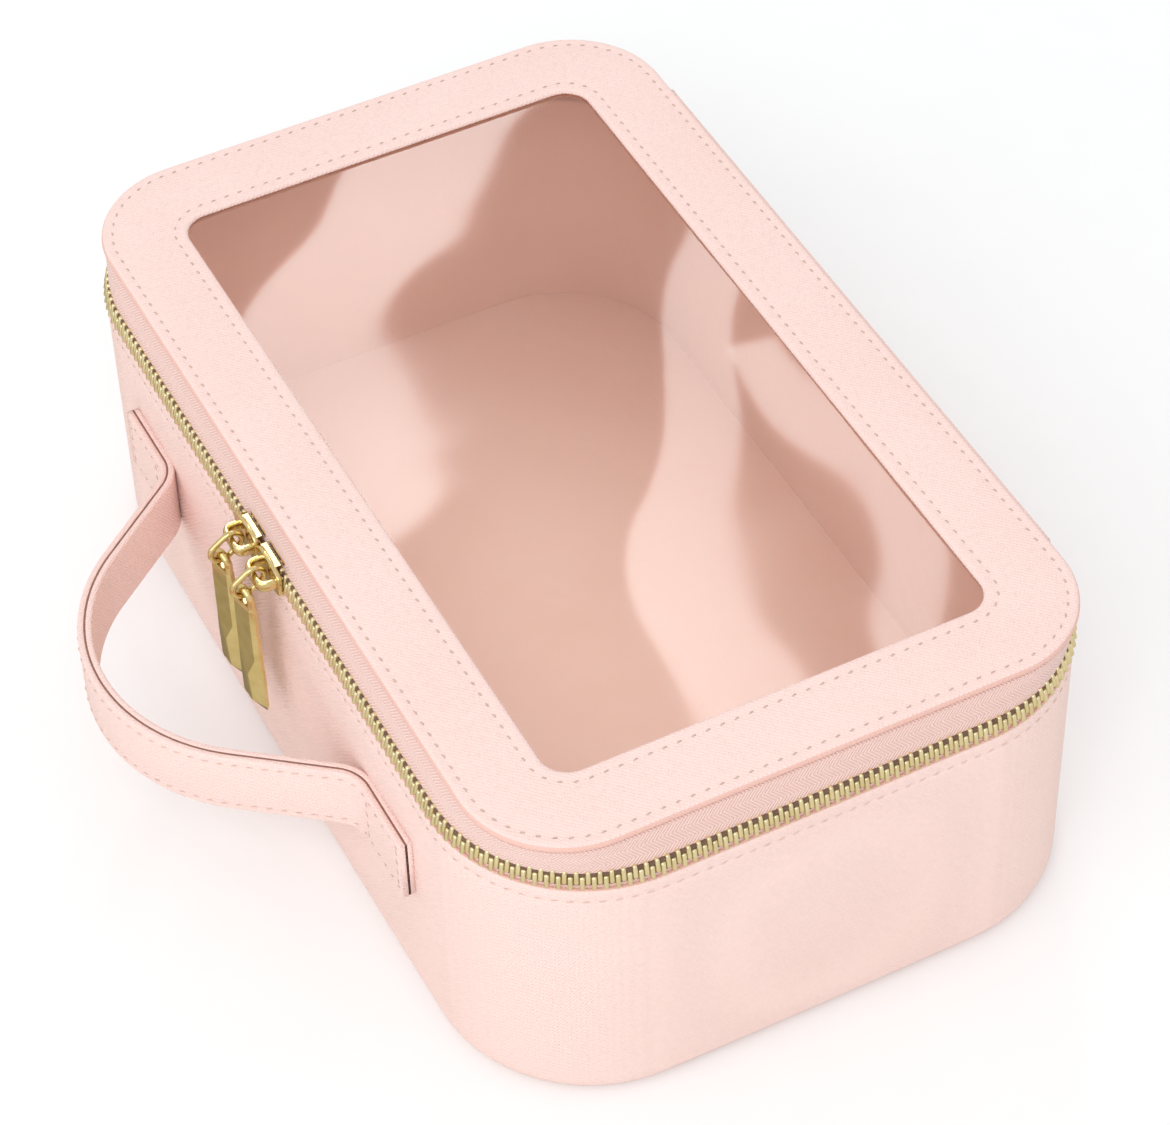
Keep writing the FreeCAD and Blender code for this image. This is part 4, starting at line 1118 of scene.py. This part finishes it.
def make_floor():
    mesh = bpy.data.meshes.new("floor")
    half = FLOOR_SIZE / 2
    corners = [(-half, -half, 0), (half, -half, 0), (half, half, 0), (-half, half, 0)]
    mesh.from_pydata(corners, [], [(0, 1, 2, 3)])
    floor = bpy.data.objects.new("floor", mesh)
    bpy.context.scene.collection.objects.link(floor)
    mesh.materials.append(speckled("white_floor", 60.0, FLOOR_TONE, shaded(FLOOR_TONE, FLOOR_PALE), 4.0,
                                   Roughness=0.6, Specular_IOR_Level=0.1))
    floor.visible_glossy = False


def add_light(name, place, target, size, power, along=(0, 0, 1)):
    """A rectangular lamp aimed at a point, its second side lying along a direction."""
    lamp = bpy.data.lights.new(name, "AREA")
    lamp.shape = "RECTANGLE"
    lamp.size, lamp.size_y = size
    lamp.energy = power
    light = bpy.data.objects.new(name, lamp)
    behind = (Vector(place) - Vector(target)).normalized()
    length = (Vector(along) - Vector(along).project(behind)).normalized()
    light.matrix_world = Matrix.Translation(place) @ Matrix(
        (length.cross(behind), length, behind)).transposed().to_4x4()
    bpy.context.scene.collection.objects.link(light)
    return light


make_floor()
PANE_MIDDLE = (0, 0, LID_TOP * MM)
add_light("key", (1.1, -0.7, 1.4), (0, 0, 0.05), (0.8, 0.8), 7.5)
add_light("front_fill", (0.5, -1.4, 0.9), (0, 0, 0.05), (1.4, 1.2), 5.8)
add_light("window_strip_wide", (-1.165, 0.427, 1.15), PANE_MIDDLE, (0.12, 0.9), 1.5, (0.72, -0.69, 0))
add_light("window_strip_long", (-0.922, 0.55, 1.15), PANE_MIDDLE, (0.07, 0.66), 0.53, (0.89, -0.45, 0))
add_light("window_strip_thin", (-0.82, 0.59, 1.15), PANE_MIDDLE, (0.04, 0.25), 0.12, (0.95, -0.31, 0))
inside = add_light("inside_fill", (0, 0, 0.0865), (0, 0, 0), (0.19, 0.10), 0.042, (0, 1, 0))
inside.visible_camera = False
inside.visible_glossy = False

WORLD_LIGHT, WORLD_DARK, WORLD_GLOW = (0.85, 0.85, 0.85, 1), (0.33, 0.27, 0.17, 1), (0.82, 0.76, 0.63, 1)
HORIZON = {"From Min": -0.35, "From Max": -0.08}
GLOW_SPREAD = {"From Min": -0.62, "From Max": -0.05}


def make_world():
    """White above; the lower half is dark with a glow on one side, and only polished metal sees it."""
    world = bpy.data.worlds.new("studio")
    bpy.context.scene.world = world
    world.use_nodes = True
    tree = world.node_tree
    aim = node(tree, "ShaderNodeSeparateXYZ", {0: node(tree, "ShaderNodeTexCoord").outputs["Generated"]})
    share = node(tree, "ShaderNodeMapRange", {"Value": aim.outputs["Z"], **HORIZON})
    across = node(tree, "ShaderNodeMapRange", {"Value": aim.outputs["X"], **GLOW_SPREAD})
    lower = mix_colour(tree, across.outputs[0], WORLD_DARK, WORLD_GLOW)
    tree.links.new(mix_colour(tree, share.outputs[0], lower, WORLD_LIGHT),
                   tree.nodes["Background"].inputs["Color"])


make_world()
bpy.context.scene.view_settings.view_transform = "Standard"

# The camera stands in front of the right-hand end, looking down as in the photograph.
PHOTO_WIDTH = 1170
FOCAL_PIXELS = 3873
SENSOR = 36.0
AZIMUTH, ELEVATION, ROLL = (math.radians(angle) for angle in (64.10, 46.39, -1.77))
CAMERA_AIM = Vector((49.29, -20.27, LID_TOP)) * MM
CAMERA_DISTANCE = 886.3 * MM

back = Vector((math.sin(AZIMUTH) * math.cos(ELEVATION), -math.cos(AZIMUTH) * math.cos(ELEVATION),
               math.sin(ELEVATION)))
level_right = Vector((math.cos(AZIMUTH), math.sin(AZIMUTH), 0))
level_up = back.cross(level_right)
right = math.cos(ROLL) * level_right + math.sin(ROLL) * level_up
up = math.cos(ROLL) * level_up - math.sin(ROLL) * level_right
lens = bpy.data.cameras.new("photo_camera")
lens.sensor_width = SENSOR
lens.lens = FOCAL_PIXELS * SENSOR / PHOTO_WIDTH
camera = bpy.data.objects.new("photo_camera", lens)
camera.matrix_world = Matrix.Translation(CAMERA_AIM + back * CAMERA_DISTANCE) @ Matrix(
    (right, up, back)).transposed().to_4x4()
bpy.context.scene.collection.objects.link(camera)
bpy.context.scene.camera = camera
